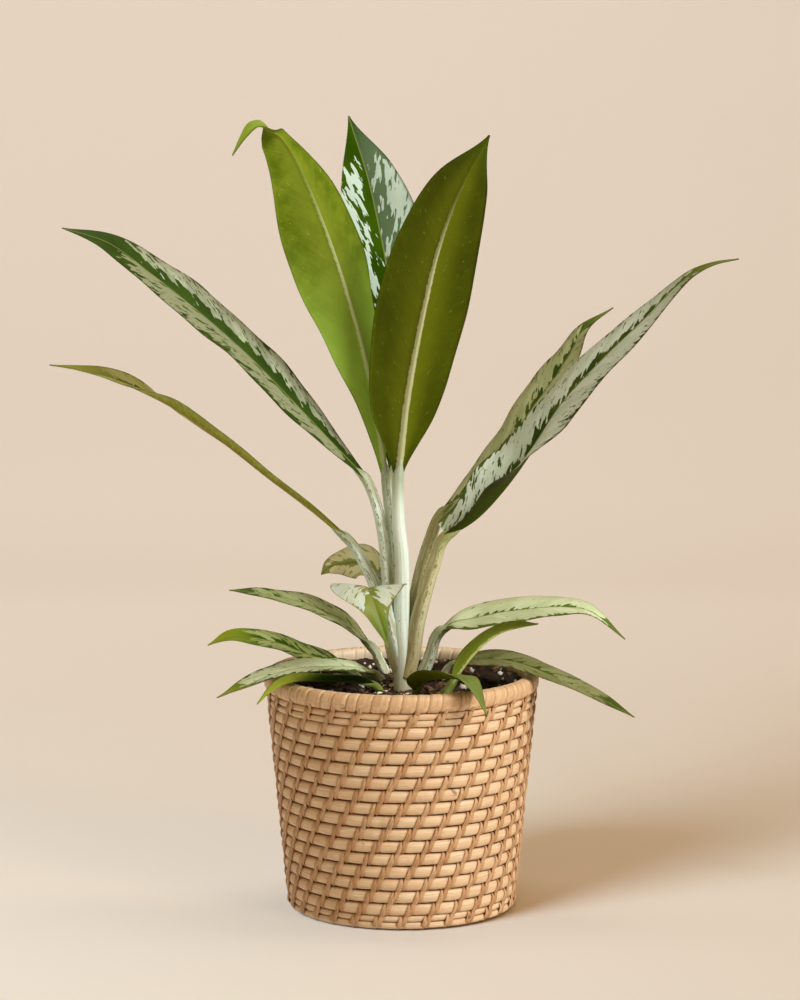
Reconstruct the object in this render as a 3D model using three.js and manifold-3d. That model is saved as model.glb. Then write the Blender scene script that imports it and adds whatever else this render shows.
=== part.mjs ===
// A potted Chinese evergreen with silver-green leaves: a leafy shoot and eight young side leaves,
// in soil, in a round tapered cachepot of coiled and lashed rattan.
// Millimetres, +Z up. The origin is the middle of the pot's flat underside, and -Y is the front.

import * as THREE from 'three';
import { mergeVertices } from 'three/addons/utils/BufferGeometryUtils.js';
import Module from 'manifold-3d';

const wasm = await Module();
wasm.setup();

// Pot sizes
const POT_HEIGHT = 148;
const RIM_RADIUS = 85;
const RIM_WIDTH = 9.5;
const RIM_HEIGHT = 11.2;
const WALL_TOP_RADIUS = 81.6;
const WALL_FOOT_RADIUS = 68.4;
const WALL_THICKNESS = 4.2;
const FLOOR_THICKNESS = 4;
const FOOT_FLAT_RADIUS = 65;
const FOOT_RISE = 1.4;
const GAP = 0.3;

// Weave: coils lie in rows, and slanted lashing strips bind each row to the next. Shift and slant
// are how far left the next row's strips start and one strip runs, in stitches a row going down.
// The turn sets where round the pot the strips fall, and the shares and edges are in stitches too.
const ROWS = 17;
const STITCHES = 30;
const COIL_RISE = 1.7;
const GROOVE_DEPTH = 1.7;
const STRIP_RISE = 1.1;
const STRIP_SHARE = 0.2;
const STITCH_SHIFT = 1 / 3;
const STRIP_SLANT = 2 / 15;
const WEAVE_TURN = -0.15;
const STRIP_EDGE = 0.03;
const RIM_WRAPS = 60;
const RIM_NOTCH = 0.5;
const RIM_SIDES = 6;

// Liner and soil
const LINER_THICKNESS = 1.2;
const LINER_TOP = 131;
const SOIL_LEVEL = 138.5;
const SOIL_RISE = 2.5;
const SOIL_LUMP = 0.9;
const ROUND_SIDES = 34;
const SOIL_RINGS = 6;

// Leaves and stalks
const BLADE_STEPS = 12;
const SMALL_BLADE_STEPS = 8;
const BLADE_THICKNESS = 0.8;
const KEEL_DEPTH = 1.6;
const KEEL_TIP_DEPTH = 0.2;
const ACROSS = [-1, -0.55, -0.1, 0.1, 0.55, 1];
const STALK_SIDES = 7;
const STALK_END_RUN = 6;
const STALK_END_INSIDE = 1.2;
const HOLE_CLEARANCE = 0.35;

const wallTopZ = POT_HEIGHT - RIM_HEIGHT - GAP;
const rowHeight = (wallTopZ - FOOT_RISE) / ROWS;

const vec = (p) => new THREE.Vector3(...p);

// Radius of the wall's middle skin at a height
function wallRadius(z) {
  return THREE.MathUtils.mapLinear(z, 0, wallTopZ, WALL_FOOT_RADIUS, WALL_TOP_RADIUS);
}

// Solids for joining and cutting
function toSolid(geometry) {
  const bare = geometry.clone();
  bare.deleteAttribute('normal');
  bare.deleteAttribute('uv');
  const merged = mergeVertices(bare, 1e-4);
  return new wasm.Manifold(new wasm.Mesh({
    numProp: 3,
    vertProperties: new Float32Array(merged.attributes.position.array),
    triVerts: new Uint32Array(merged.index.array),
  }));
}

function toGeometry(solid) {
  const mesh = solid.getMesh();
  const geometry = new THREE.BufferGeometry();
  geometry.setAttribute('position', new THREE.BufferAttribute(mesh.vertProperties, 3));
  geometry.setIndex(new THREE.BufferAttribute(mesh.triVerts, 1));
  return geometry;
}

function join(geometries) {
  return toGeometry(geometries.map(toSolid).reduce((all, next) => all.add(next)));
}

function geometryOf(positions, index) {
  const geometry = new THREE.BufferGeometry();
  geometry.setAttribute('position', new THREE.Float32BufferAttribute(positions, 3));
  geometry.setIndex(index);
  return geometry;
}

// A skin over rings of points, each joined to the next. ends are the middles of its first and
// last ring, where fans close it. A skin whose last ring is its first needs none.
function skin(rings, ends = []) {
  const sides = rings[0].length;
  const last = (rings.length - 1) * sides;
  const middle = rings.length * sides;
  const positions = [...rings.flat(), ...ends].flatMap((p) => [p.x, p.y, p.z]);
  const index = [];
  for (let i = 0; i < sides; i += 1) {
    const next = (i + 1) % sides;
    for (let row = 0; row < last; row += sides) {
      index.push(row + i, row + next, row + next + sides, row + i, row + next + sides, row + i + sides);
    }
    if (ends.length) {
      index.push(middle, next, i, middle + 1, last + i, last + next);
    }
  }
  return geometryOf(positions, index);
}

function roundPoint(radius, angle, z) {
  return new THREE.Vector3(radius * Math.cos(angle), radius * Math.sin(angle), z);
}

// A round solid from its half outline, given as [radius, height] from the bottom axis to the top axis
function turned(outline, sides = ROUND_SIDES) {
  const points = outline.map(([r, z]) => new THREE.Vector2(r, z));
  return new THREE.LatheGeometry(points, sides).rotateX(Math.PI / 2);
}

// A ring round the wall with four points to a stitch: the raised strip's two edges, and the coil
// close beside each of them. Places and widths are in stitches.
function weaveRing(z, stripStart, stripWidth, lowRadius, highRadius) {
  const ring = [];
  for (let stitch = 0; stitch < STITCHES; stitch += 1) {
    const start = stitch + stripStart + WEAVE_TURN;
    const end = start + stripWidth;
    const marks = [
      [start - STRIP_EDGE, lowRadius], [start, highRadius],
      [end, highRadius], [end + STRIP_EDGE, lowRadius],
    ];
    for (const [mark, radius] of marks) {
      ring.push(roundPoint(radius, (mark / STITCHES) * 2 * Math.PI, z));
    }
  }
  return ring;
}

// The woven wall, row by row from the top. It is solid inside until its hollow is cut.
function weaveBody() {
  const rings = [];
  for (let row = 0; row < ROWS; row += 1) {
    const grooveZ = wallTopZ - row * rowHeight;
    const crestZ = grooveZ - rowHeight / 2;
    const grooveStart = (1 - row) * STITCH_SHIFT - STRIP_SLANT / 2 - STRIP_SHARE;
    const crestStart = -row * STITCH_SHIFT - STRIP_SHARE;
    const groove = wallRadius(grooveZ) - GROOVE_DEPTH;
    const crest = wallRadius(crestZ) + COIL_RISE;
    rings.push(weaveRing(grooveZ, grooveStart, STRIP_SHARE, groove, groove + 2 * STRIP_RISE));
    rings.push(weaveRing(crestZ, crestStart, 2 * STRIP_SHARE, crest, crest + STRIP_RISE));
  }
  const footStart = (1 - ROWS) * STITCH_SHIFT - STRIP_SLANT / 2 - STRIP_SHARE;
  const foot = wallRadius(FOOT_RISE) - GROOVE_DEPTH;
  rings.push(weaveRing(FOOT_RISE, footStart, STRIP_SHARE, foot, foot + STRIP_RISE));
  rings.push(weaveRing(0, footStart, STRIP_SHARE, FOOT_FLAT_RADIUS, FOOT_FLAT_RADIUS));
  return skin(rings.reverse(), [vec([0, 0, 0]), vec([0, 0, wallTopZ])]);
}

function basketWall() {
  const floorRadius = wallRadius(FLOOR_THICKNESS) - WALL_THICKNESS;
  const mouthZ = POT_HEIGHT;
  const hollow = turned([
    [0, FLOOR_THICKNESS],
    [floorRadius, FLOOR_THICKNESS],
    [wallRadius(mouthZ) - WALL_THICKNESS, mouthZ],
    [0, mouthZ],
  ]);
  return toGeometry(toSolid(weaveBody()).subtract(toSolid(hollow)));
}

// The rim coil: a six-sided ring, pinched in where one wrapping strip meets the next
function basketRim() {
  const ringRadius = RIM_RADIUS - RIM_WIDTH / 2;
  const ringZ = POT_HEIGHT - RIM_HEIGHT / 2;
  const grow = 1 / Math.cos(Math.PI / RIM_SIDES);
  const rings = [];
  for (let step = 0; step < 2 * RIM_WRAPS; step += 1) {
    const angle = (step / (2 * RIM_WRAPS)) * 2 * Math.PI;
    const pinch = step % 2 ? 0 : RIM_NOTCH;
    const ring = [];
    for (let side = 0; side < RIM_SIDES; side += 1) {
      const turn = ((side + 0.5) / RIM_SIDES) * 2 * Math.PI;
      const radius = ringRadius + (RIM_WIDTH / 2 - pinch) * grow * Math.cos(turn);
      const lift = (RIM_HEIGHT / 2) * grow * Math.sin(turn);
      const z = ringZ + THREE.MathUtils.clamp(lift, -RIM_HEIGHT / 2, RIM_HEIGHT / 2 - pinch);
      ring.push(roundPoint(radius, angle, z));
    }
    rings.push(ring);
  }
  rings.push(rings[0]);
  return skin(rings.reverse());
}

// The liner keeps the soil in the open weave
function linerOutline(inset, floorZ, topZ) {
  const radiusAt = (z) => wallRadius(z) - WALL_THICKNESS - GAP - inset;
  return [[radiusAt(floorZ), floorZ], [radiusAt(topZ), topZ]];
}

const linerFloorZ = FLOOR_THICKNESS + GAP;

function liner() {
  const outside = linerOutline(0, linerFloorZ, LINER_TOP);
  const inside = linerOutline(LINER_THICKNESS, linerFloorZ + LINER_THICKNESS, LINER_TOP);
  return turned([
    [0, linerFloorZ], ...outside, ...inside.reverse(), [0, linerFloorZ + LINER_THICKNESS],
  ]);
}

// Soil: higher at the back, with lumps from a few crossed waves
function soilHeight(x, y) {
  const slope = SOIL_RISE * Math.tanh((y - 2) / 12);
  const lumps = Math.sin(x * 0.31 + y * 0.17) * Math.sin(y * 0.37 - x * 0.11)
    + 0.5 * Math.sin(x * 0.83 + 1.7) * Math.sin(y * 0.71 + 0.4);
  return SOIL_LEVEL + slope + SOIL_LUMP * lumps;
}

function soilBody() {
  const shoulderZ = LINER_TOP + GAP;
  const inset = LINER_THICKNESS + GAP;
  const [[lowRadius, lowZ], [highRadius]] = linerOutline(inset, linerFloorZ + inset, shoulderZ);
  const edgeRadius = RIM_RADIUS - RIM_WIDTH - 2 * GAP;
  const circle = (radius, heightAt) => {
    const ring = [];
    for (let i = 0; i < ROUND_SIDES; i += 1) {
      const point = roundPoint(radius, (i / ROUND_SIDES - 0.25) * 2 * Math.PI, 0);
      point.z = heightAt(point.x, point.y);
      ring.push(point);
    }
    return ring;
  };
  const rings = [
    circle(lowRadius, () => lowZ),
    circle(highRadius, () => shoulderZ),
    circle(edgeRadius, () => shoulderZ),
  ];
  for (let ring = 0; ring < SOIL_RINGS; ring += 1) {
    rings.push(circle(edgeRadius * (1 - ring / SOIL_RINGS), soilHeight));
  }
  return skin(rings, [vec([0, 0, lowZ]), vec([0, 0, soilHeight(0, 0)])]);
}

// A stalk: a tapered round tube along its centre line. Growing it by a clearance makes its hole.
function stalk({ line, radius, steps }, clearance = 0) {
  const path = new THREE.CatmullRomCurve3(line.map(vec));
  const grow = clearance / Math.cos(Math.PI / STALK_SIDES);
  const back = new THREE.Vector3(0, 1, 0);
  const rings = [];
  const middles = [];
  for (let step = 0; step <= steps; step += 1) {
    const t = step / steps;
    const along = path.getTangentAt(t);
    const across = new THREE.Vector3().crossVectors(back, along).normalize();
    const other = new THREE.Vector3().crossVectors(along, across);
    const middle = path.getPointAt(t);
    if (step === 0) {
      middle.addScaledVector(along, -clearance);
    }
    const size = THREE.MathUtils.lerp(...radius, t) + grow;
    const ring = [];
    for (let side = 0; side < STALK_SIDES; side += 1) {
      const turn = (side / STALK_SIDES) * 2 * Math.PI;
      ring.push(middle.clone()
        .addScaledVector(across, size * Math.cos(turn))
        .addScaledVector(other, size * Math.sin(turn)));
    }
    rings.push(ring);
    middles.push(middle);
  }
  return skin(rings, [middles[0], middles[steps]]);
}

// A leaf's stalk runs on in line with its blade, and ends a gap below the blade or a little inside it
function leafStalk(leaf, gap) {
  const [base, next] = leaf.line.map(vec);
  const along = next.sub(base).normalize();
  const end = base.clone().addScaledVector(along, -gap);
  const before = end.clone().addScaledVector(along, -STALK_END_RUN);
  return { ...leaf.stalk, line: [...leaf.stalk.line, before.toArray(), end.toArray()] };
}

// Stations are rows of [place along the leaf, value or values], and what lies between is blended
function blend(stations, t) {
  const next = Math.max(1, stations.findIndex(([place]) => place >= t));
  const [from, ...low] = stations[next - 1];
  const [to, ...high] = stations[next];
  const share = THREE.MathUtils.smoothstep(t, from, to);
  return low.map((value, i) => THREE.MathUtils.lerp(value, high[i], share));
}

// A leaf blade: a thin plate folded along its midrib, with a keel under the midrib.
// halves are its half widths at even steps from base to tip. face says where the upper side
// looks, and fold is each half's rise in radians, both at stations.
function blade({ line, halves, face, fold, steps = BLADE_STEPS }) {
  const outline = new THREE.SplineCurve(halves.map((half, i) => new THREE.Vector2(i, half)));
  const path = new THREE.CatmullRomCurve3(line.map(vec));
  const upper = [];
  const under = [];
  for (let step = 0; step <= steps; step += 1) {
    const t = step / steps;
    const along = path.getTangentAt(t);
    const centre = path.getPointAt(t);
    const up = vec(blend(face, t));
    up.addScaledVector(along, -up.dot(along)).normalize();
    const side = new THREE.Vector3().crossVectors(along, up);
    const half = outline.getPoint(t).y;
    const [angle] = blend(fold, t);
    for (const s of ACROSS) {
      const point = centre.clone()
        .addScaledVector(side, s * half * Math.cos(angle))
        .addScaledVector(up, Math.abs(s) * half * Math.sin(angle));
      const rib = Math.abs(s) < 0.2 ? THREE.MathUtils.lerp(KEEL_DEPTH, KEEL_TIP_DEPTH, t) : 0;
      upper.push(point);
      under.push(point.clone().addScaledVector(up, -BLADE_THICKNESS - rib));
    }
  }
  const columns = ACROSS.length;
  const count = upper.length;
  const positions = [...upper, ...under].flatMap((p) => [p.x, p.y, p.z]);
  const index = [];
  const quad = (a, b, c, d) => index.push(a, b, c, a, c, d);
  for (let step = 0; step < steps; step += 1) {
    for (let i = 0; i + 1 < columns; i += 1) {
      const a = step * columns + i;
      const c = a + columns + 1;
      index.push(a, a + 1, c, a, c, c - 1);
      index.push(a + count, c + count, a + 1 + count, a + count, c - 1 + count, c + count);
    }
    const left = step * columns;
    const right = left + columns - 1;
    quad(left, left + columns, left + columns + count, left + count);
    quad(right, right + count, right + columns + count, right + columns);
  }
  for (let i = 0; i + 1 < columns; i += 1) {
    const tip = steps * columns + i;
    quad(i, i + count, i + 1 + count, i + 1);
    quad(tip, tip + 1, tip + 1 + count, tip + count);
  }
  return geometryOf(positions, index);
}

// The shoot's leaves, named by where they stand. Their stalks clasp one another in a short trunk,
// and the front one's goes on down into the soil.
const SHOOT_LEAVES = {
  leaf_tall_front: {
    stalk: {
      line: [[1, -12, 118], [1, -12, 144], [0, -13, 178], [0, -13, 221], [-2, -12, 242]],
      radius: [6.2, 3.4],
      steps: 9,
    },
    line: [[-2, -12, 272], [4, -17, 323], [13, -26, 372], [23, -36, 415], [37, -46, 453], [52, -56, 481]],
    halves: [3.4, 21, 27, 29, 25.5, 17.5, 0.5],
    face: [[0, -0.23, 0.97, 0.12], [1, -0.04, 0.93, 0.36]],
    fold: [[0, 0.28], [1, 0.2]],
  },
  leaf_tall_left: {
    stalk: {
      line: [[0, -9, 150], [-4, -6, 193], [-5, -4, 224], [-7, -2, 245]],
      radius: [4.6, 3.2],
      steps: 5,
    },
    line: [
      [-10, 0, 270], [-21, -1, 334], [-35, -3, 386], [-51, -6, 432], [-66, -12, 466], [-76, -18, 480],
      [-86, -26, 485], [-94, -34, 478], [-101, -40, 468],
    ],
    halves: [2.8, 10.5, 22, 29, 22.5, 8, 0.5],
    face: [[0, -0.6, 0.8, -0.1], [0.78, -0.6, 0.75, 0.1], [0.93, -0.5, -0.5, 1], [1, -0.6, -0.6, 0.8]],
    fold: [[0, 0.35], [0.8, 0.35], [1, 0.1]],
    steps: 16,
  },
  leaf_tall_back: {
    stalk: {
      line: [[1, -8, 150], [0, -2, 192], [-1, 2, 223], [-3, 6, 247]],
      radius: [4.6, 3.2],
      steps: 5,
    },
    line: [
      [-5, 9, 271], [-7, 25, 356], [-9, 35, 393], [-14, 42, 419], [-21, 50, 449], [-30, 58, 477],
      [-33, 62, 486],
    ],
    halves: [3, 15, 23, 27.5, 26, 17, 0.5],
    face: [[0, 0.26, -1, 0.3], [1, 0.1, -1, 0.4]],
    fold: [[0, 0.35], [1, 0.25]],
  },
  leaf_left_high: {
    stalk: {
      line: [[0, -11, 146], [-4, -10, 165], [-8, -8, 200], [-11, -7, 230], [-15, -6, 250]],
      radius: [4.6, 3],
      steps: 7,
    },
    line: [
      [-23, -5, 270], [-39, -6, 287], [-67, -6, 317], [-94, -6, 345], [-122, -6, 370], [-153, -6, 395],
      [-178, -6, 413], [-206, -6, 422],
    ],
    halves: [3.2, 16, 22, 22, 21, 15, 0.5],
    face: [[0, 0.69, -0.35, 0.62], [1, 0.28, -0.38, 0.88]],
    fold: [[0, 0.05], [0.5, 0.12], [1, 0.05]],
  },
  leaf_left_low: {
    stalk: {
      line: [[0, -10, 146], [-5, -8, 160], [-10, -5, 182], [-18, 0, 204], [-26, 3, 219]],
      radius: [4.6, 3],
      steps: 6,
    },
    line: [
      [-35, 6, 231], [-53, 8, 246], [-81, 12, 267], [-113, 18, 291], [-144, 24, 311], [-181, 28, 327],
      [-202, 30, 332], [-218, 32, 334],
    ],
    halves: [2.5, 10, 16, 18, 16, 11, 0.5],
    face: [[0, 0.6, 0.42, 0.7], [0.6, 0.5, 0.4, 0.77], [0.8, 0.33, -0.12, 0.94], [1, 0.11, -0.13, 0.98]],
    fold: [[0, 0.14], [1, 0.1]],
  },
  leaf_right_near: {
    stalk: {
      line: [[3, -13, 146], [7, -14, 163], [10, -15, 181], [16, -15, 204], [20, -14, 216]],
      radius: [5.4, 3.6],
      steps: 6,
    },
    line: [
      [27, -12, 234], [45, -14, 246], [63, -16, 266], [79, -18, 289], [97, -20, 317], [120, -24, 343],
      [147, -28, 370], [164, -31, 388], [175, -33, 397], [188, -35, 403], [202, -38, 406],
    ],
    halves: [3, 17, 22, 21, 16, 8, 0.5],
    face: [
      [0, -0.56, -0.21, 0.8], [0.15, -0.74, -0.19, 0.64], [0.27, -0.8, -0.31, 0.52],
      [0.42, -0.75, -0.43, 0.5], [1, -0.44, -0.36, 0.82],
    ],
    fold: [[0, 0.85], [0.15, 0.85], [0.27, 0.42], [0.42, 0.05], [1, 0.05]],
    steps: 14,
  },
  leaf_right_far: {
    stalk: {
      line: [[2, -9, 146], [5, -7, 163], [9, -2, 196], [13, 2, 214], [18, 5, 230]],
      radius: [5, 3.4],
      steps: 6,
    },
    line: [
      [25, 7, 246], [46, 12, 266], [66, 16, 289], [79, 20, 307], [91, 24, 323], [102, 28, 339],
      [112, 32, 356], [131, 38, 369],
    ],
    halves: [3, 12, 18, 21, 18, 9, 0.5],
    face: [[0, -0.62, -0.3, 0.74], [1, -0.48, -0.3, 0.83]],
    fold: [[0, 0.05], [1, 0.05]],
  },
  leaf_drooping: {
    stalk: {
      line: [[-1, -13, 150], [-3, -14, 165], [-8, -16, 186]],
      radius: [4, 2.6],
      steps: 4,
    },
    line: [[-11, -22, 197], [-17, -32, 204], [-20, -44, 207], [-17, -58, 201], [-8, -68, 175]],
    halves: [2.4, 12, 23, 20, 9, 4, 0.5],
    face: [[0, 0, 0.6, 1], [0.5, 0, -0.3, 1], [1, 0, -1, 0.2]],
    fold: [[0, 0.1], [1, 0.1]],
    steps: 9,
  },
  leaf_small_behind: {
    stalk: {
      line: [[-2, -8, 150], [-4, -6, 165], [-8, 0, 192]],
      radius: [4, 2.4],
      steps: 4,
    },
    line: [[-13, 8, 205], [-22, 14, 212], [-35, 18, 212], [-45, 20, 209], [-50, 22, 204]],
    halves: [2, 8, 12, 11, 8, 5, 0.5],
    face: [[0, 0, -1, 0.6], [1, -0.4, -0.8, 0.4]],
    fold: [[0, 0.2], [1, 0.2]],
    steps: 9,
  },
};

// Young side leaves, each on its own stalk out of the soil
const SIDE_LEAVES = {
  side_leaf_left_1: {
    stalk: {
      line: [[-5, 27, 122], [-10, 28, 140], [-15, 28, 151]],
      radius: [3.6, 3],
      steps: 4,
    },
    line: [
      [-19, 28, 158], [-35, 26, 174], [-47, 25, 180], [-60, 24, 186], [-76, 22, 190], [-89, 20, 193],
      [-107, 18, 195],
    ],
    halves: [2.4, 11, 14, 14, 12, 8, 0.5],
    face: [[0, 0.71, -0.17, 0.69], [0.5, 0.4, -0.17, 0.9], [1, 0.12, -0.14, 0.98]],
    fold: [[0, 0.05], [1, 0.05]],
  },
  side_leaf_left_2: {
    stalk: {
      line: [[-20, 5, 124], [-25, 7, 139]],
      radius: [3.2, 2.6],
      steps: 4,
    },
    line: [
      [-33, 8, 146], [-43, 9, 151], [-63, 10, 158], [-75, 10, 163], [-91, 8, 167], [-106, 6, 168],
      [-120, 3, 163],
    ],
    halves: [2.4, 12, 14, 14, 13, 9, 0.5],
    face: [[0, 0.42, -0.19, 0.89], [1, -0.29, -0.2, 0.94]],
    fold: [[0, 0.05], [1, 0.05]],
  },
  side_leaf_left_3: {
    stalk: {
      line: [[-8, 10, 124], [-12, 6, 138]],
      radius: [3.2, 2.6],
      steps: 4,
    },
    line: [
      [-17, 1, 146], [-27, -8, 151], [-44, -18, 154], [-62, -28, 155], [-80, -36, 152], [-95, -44, 147],
      [-112, -52, 141],
    ],
    halves: [2.4, 11, 13, 13, 12, 9, 0.5],
    face: [[0, 0.47, -0.03, 0.88], [1, -0.29, -0.09, 0.95]],
    fold: [[0, 0.1], [1, 0.1]],
  },
  side_leaf_left_4: {
    stalk: {
      line: [[-9, -8, 122], [-13, -14, 136]],
      radius: [3, 2.4],
      steps: 4,
    },
    line: [
      [-18, -19, 143], [-30, -30, 147], [-46, -42, 150], [-62, -52, 152], [-72, -60, 151], [-80, -66, 147],
      [-87, -72, 141],
    ],
    halves: [2.4, 9, 12, 12, 10, 7, 0.5],
    face: [[0, 0.12, 0.22, 0.97], [0.5, 0, 0.22, 1], [1, -0.77, 0.39, 0.5]],
    fold: [[0, 0.35], [0.5, 0.35], [1, 0.2]],
  },
  side_leaf_right_1: {
    stalk: {
      line: [[8, 21, 120], [13, 22, 140], [18, 22, 153]],
      radius: [4.6, 3.4],
      steps: 4,
    },
    line: [
      [24, 21, 169], [33, 18, 175], [46, 16, 178], [61, 13, 182], [79, 9, 185], [98, 5, 187], [116, 1, 185],
      [138, -4, 168],
    ],
    halves: [2.4, 14, 15, 14.5, 12.5, 6, 0.5],
    face: [[0, -0.59, -0.27, 0.76], [0.6, -0.09, -0.26, 0.96], [1, 0.56, -0.23, 0.79]],
    fold: [[0, 0.05], [1, 0.05]],
  },
  side_leaf_right_2: {
    stalk: {
      line: [[19, -37, 120], [25, -36, 136]],
      radius: [3.4, 2.8],
      steps: 3,
    },
    line: [
      [30, -34, 146], [37, -30, 156], [44, -26, 164], [52, -22, 171], [62, -18, 176], [73, -14, 178],
      [84, -11, 179],
    ],
    halves: [2.6, 9, 12, 12, 10, 7, 0.5],
    face: [[0, -0.7, 0.4, 0.6], [1, -0.3, 0.4, 0.9]],
    fold: [[0, 0.4], [1, 0.2]],
  },
  side_leaf_right_3: {
    stalk: {
      line: [[20, 13, 122], [25, 12, 139]],
      radius: [3.2, 2.6],
      steps: 4,
    },
    line: [
      [32, 10, 150], [41, 4, 154], [59, -6, 156], [73, -14, 155], [84, -20, 152], [100, -26, 146],
      [121, -32, 137], [142, -38, 126],
    ],
    halves: [2.4, 11, 13, 13, 12, 9, 0.5],
    face: [[0, -0.47, -0.08, 0.88], [0.5, 0, -0.1, 1], [1, 0.41, -0.13, 0.89]],
    fold: [[0, 0.07], [1, 0.07]],
  },
  side_leaf_front: {
    stalk: {
      line: [[7, -29, 120], [8, -35, 134]],
      radius: [3, 2.4],
      steps: 3,
    },
    line: [
      [9, -39, 143], [14, -48, 151], [26, -58, 155], [34, -66, 156], [40, -76, 154], [46, -86, 147],
      [51, -92, 138],
    ],
    halves: [2.4, 13, 15, 12, 9, 5, 0.5],
    face: [[0, -0.6, 0.7, 0.6], [0.4, -0.2, 0.5, 1], [1, 0.7, -0.3, 0.7]],
    fold: [[0, 0.2], [1, 0.2]],
  },
};

const plant = new THREE.Group();

function addPart(name, geometry, material) {
  const mesh = new THREE.Mesh(geometry, material);
  mesh.name = name;
  plant.add(mesh);
}

const rattan = new THREE.MeshStandardMaterial({ color: 0xc99b6a, roughness: 0.55, metalness: 0 });
const rimRattan = new THREE.MeshStandardMaterial({ color: 0xd6aa7a, roughness: 0.5, metalness: 0 });
const linerPlastic = new THREE.MeshStandardMaterial({ color: 0x1c1a18, roughness: 0.6, metalness: 0 });
const pottingSoil = new THREE.MeshStandardMaterial({ color: 0x2a1a12, roughness: 1, metalness: 0 });
const paleStalk = new THREE.MeshStandardMaterial({ color: 0xd9dcc0, roughness: 0.45, metalness: 0 });
const silverLeaf = new THREE.MeshStandardMaterial({ color: 0x7f9f72, roughness: 0.45, metalness: 0 });

addPart('basket_wall', basketWall(), rattan);
addPart('basket_rim', basketRim(), rimRattan);
addPart('liner', liner(), linerPlastic);

const shootStalks = Object.values(SHOOT_LEAVES).map((leaf) => leafStalk(leaf, GAP));
const sideStalks = Object.values(SIDE_LEAVES).map((leaf) => leafStalk(leaf, -STALK_END_INSIDE));
const holes = [shootStalks[0], ...sideStalks]
  .map((item) => toSolid(stalk(item, HOLE_CLEARANCE)))
  .reduce((all, next) => all.add(next));
addPart('soil', toGeometry(toSolid(soilBody()).subtract(holes)), pottingSoil);

addPart('shoot_stalks', join(shootStalks.map((item) => stalk(item))), paleStalk);
for (const [name, leaf] of Object.entries(SHOOT_LEAVES)) {
  addPart(name, blade(leaf), silverLeaf);
}
Object.entries(SIDE_LEAVES).forEach(([name, leaf], i) => {
  addPart(name, join([stalk(sideStalks[i]), blade({ steps: SMALL_BLADE_STEPS, ...leaf })]), silverLeaf);
});

export default plant;
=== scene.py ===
import math

import bmesh
import bpy
import numpy as np
from mathutils import Euler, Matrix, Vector, noise


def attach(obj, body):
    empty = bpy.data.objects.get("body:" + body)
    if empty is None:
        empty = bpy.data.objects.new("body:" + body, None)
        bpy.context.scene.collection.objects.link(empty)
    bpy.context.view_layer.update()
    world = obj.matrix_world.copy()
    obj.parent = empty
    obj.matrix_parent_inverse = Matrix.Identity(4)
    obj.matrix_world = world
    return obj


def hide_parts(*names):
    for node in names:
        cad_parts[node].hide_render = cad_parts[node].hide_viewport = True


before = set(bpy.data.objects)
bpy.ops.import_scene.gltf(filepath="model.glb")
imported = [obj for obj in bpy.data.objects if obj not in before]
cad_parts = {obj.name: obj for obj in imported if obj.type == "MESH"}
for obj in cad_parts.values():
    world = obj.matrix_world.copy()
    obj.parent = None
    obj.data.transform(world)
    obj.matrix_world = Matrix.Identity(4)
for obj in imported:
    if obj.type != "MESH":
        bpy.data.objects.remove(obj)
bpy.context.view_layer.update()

MM = 0.001
TURN = 2 * math.pi

# Pot, weave, soil and stalk sizes, as in the part
POT_HEIGHT = 148
RIM_RADIUS = 85
RIM_WIDTH = 9.5
RIM_HEIGHT = 11.2
WALL_TOP_RADIUS = 81.6
WALL_FOOT_RADIUS = 68.4
FOOT_RISE = 1.4
GAP = 0.3
ROWS = 17
STITCHES = 30
STITCH_SHIFT = 1 / 3
STRIP_SLANT = 2 / 15
WEAVE_TURN = -0.15
RIM_WRAPS = 60
SOIL_LEVEL = 138.5
SOIL_RISE = 2.5
SOIL_LUMP = 0.9
SOIL_SHOULDER = 131.3
STALK_END_RUN = 6
BLADE_THICKNESS = 0.8
WALL_TOP = POT_HEIGHT - RIM_HEIGHT - GAP
ROW_HEIGHT = (WALL_TOP - FOOT_RISE) / ROWS


# Number helpers

def smoothstep(x, low, high):
    share = np.clip((np.asarray(x, float) - low) / (high - low), 0, 1)
    return share * share * (3 - 2 * share)


def bump(x, width):
    """A smooth hump, 1 at x = 0 and nearly 0 beyond two widths."""
    return np.exp(-(np.asarray(x, float) / width) ** 2)


def signed_power(x, power):
    return np.sign(x) * np.abs(x) ** power


def unit(vectors):
    return vectors / np.linalg.norm(vectors, axis=-1, keepdims=True)


def round_angles(count):
    return np.arange(count) / count * TURN


def round_points(radius, angle, z):
    return np.stack(np.broadcast_arrays(radius * np.cos(angle), radius * np.sin(angle), z), -1)


def triples(grid, x, y, z):
    """Three numbers for each point of a grid of this shape."""
    return np.stack([np.broadcast_to(value, grid) for value in (x, y, z)], -1)


# Meshes

def grid_faces(rows, columns, closed_rows=False, closed_columns=False, start=0):
    """Quads over a grid of points that is numbered row by row."""
    i = np.arange(rows if closed_rows else rows - 1)
    j = np.arange(columns if closed_columns else columns - 1)
    i, j = np.meshgrid(i, j, indexing="ij")
    next_i = (i + 1) % rows
    next_j = (j + 1) % columns
    corners = [i * columns + j, i * columns + next_j, next_i * columns + next_j, next_i * columns + j]
    return (np.stack(corners, -1).reshape(-1, 4) + start).tolist()


def place_mesh(name, points, faces, materials, smooth=True):
    """A new object in the scene, from points in metres."""
    mesh = bpy.data.meshes.new(name)
    mesh.from_pydata(points.reshape(-1, 3).tolist(), [], faces)
    mesh.polygons.foreach_set("use_smooth", [smooth] * len(mesh.polygons))
    for material in materials:
        mesh.materials.append(material)
    item = bpy.data.objects.new(name, mesh)
    bpy.context.scene.collection.objects.link(item)
    return item


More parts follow.
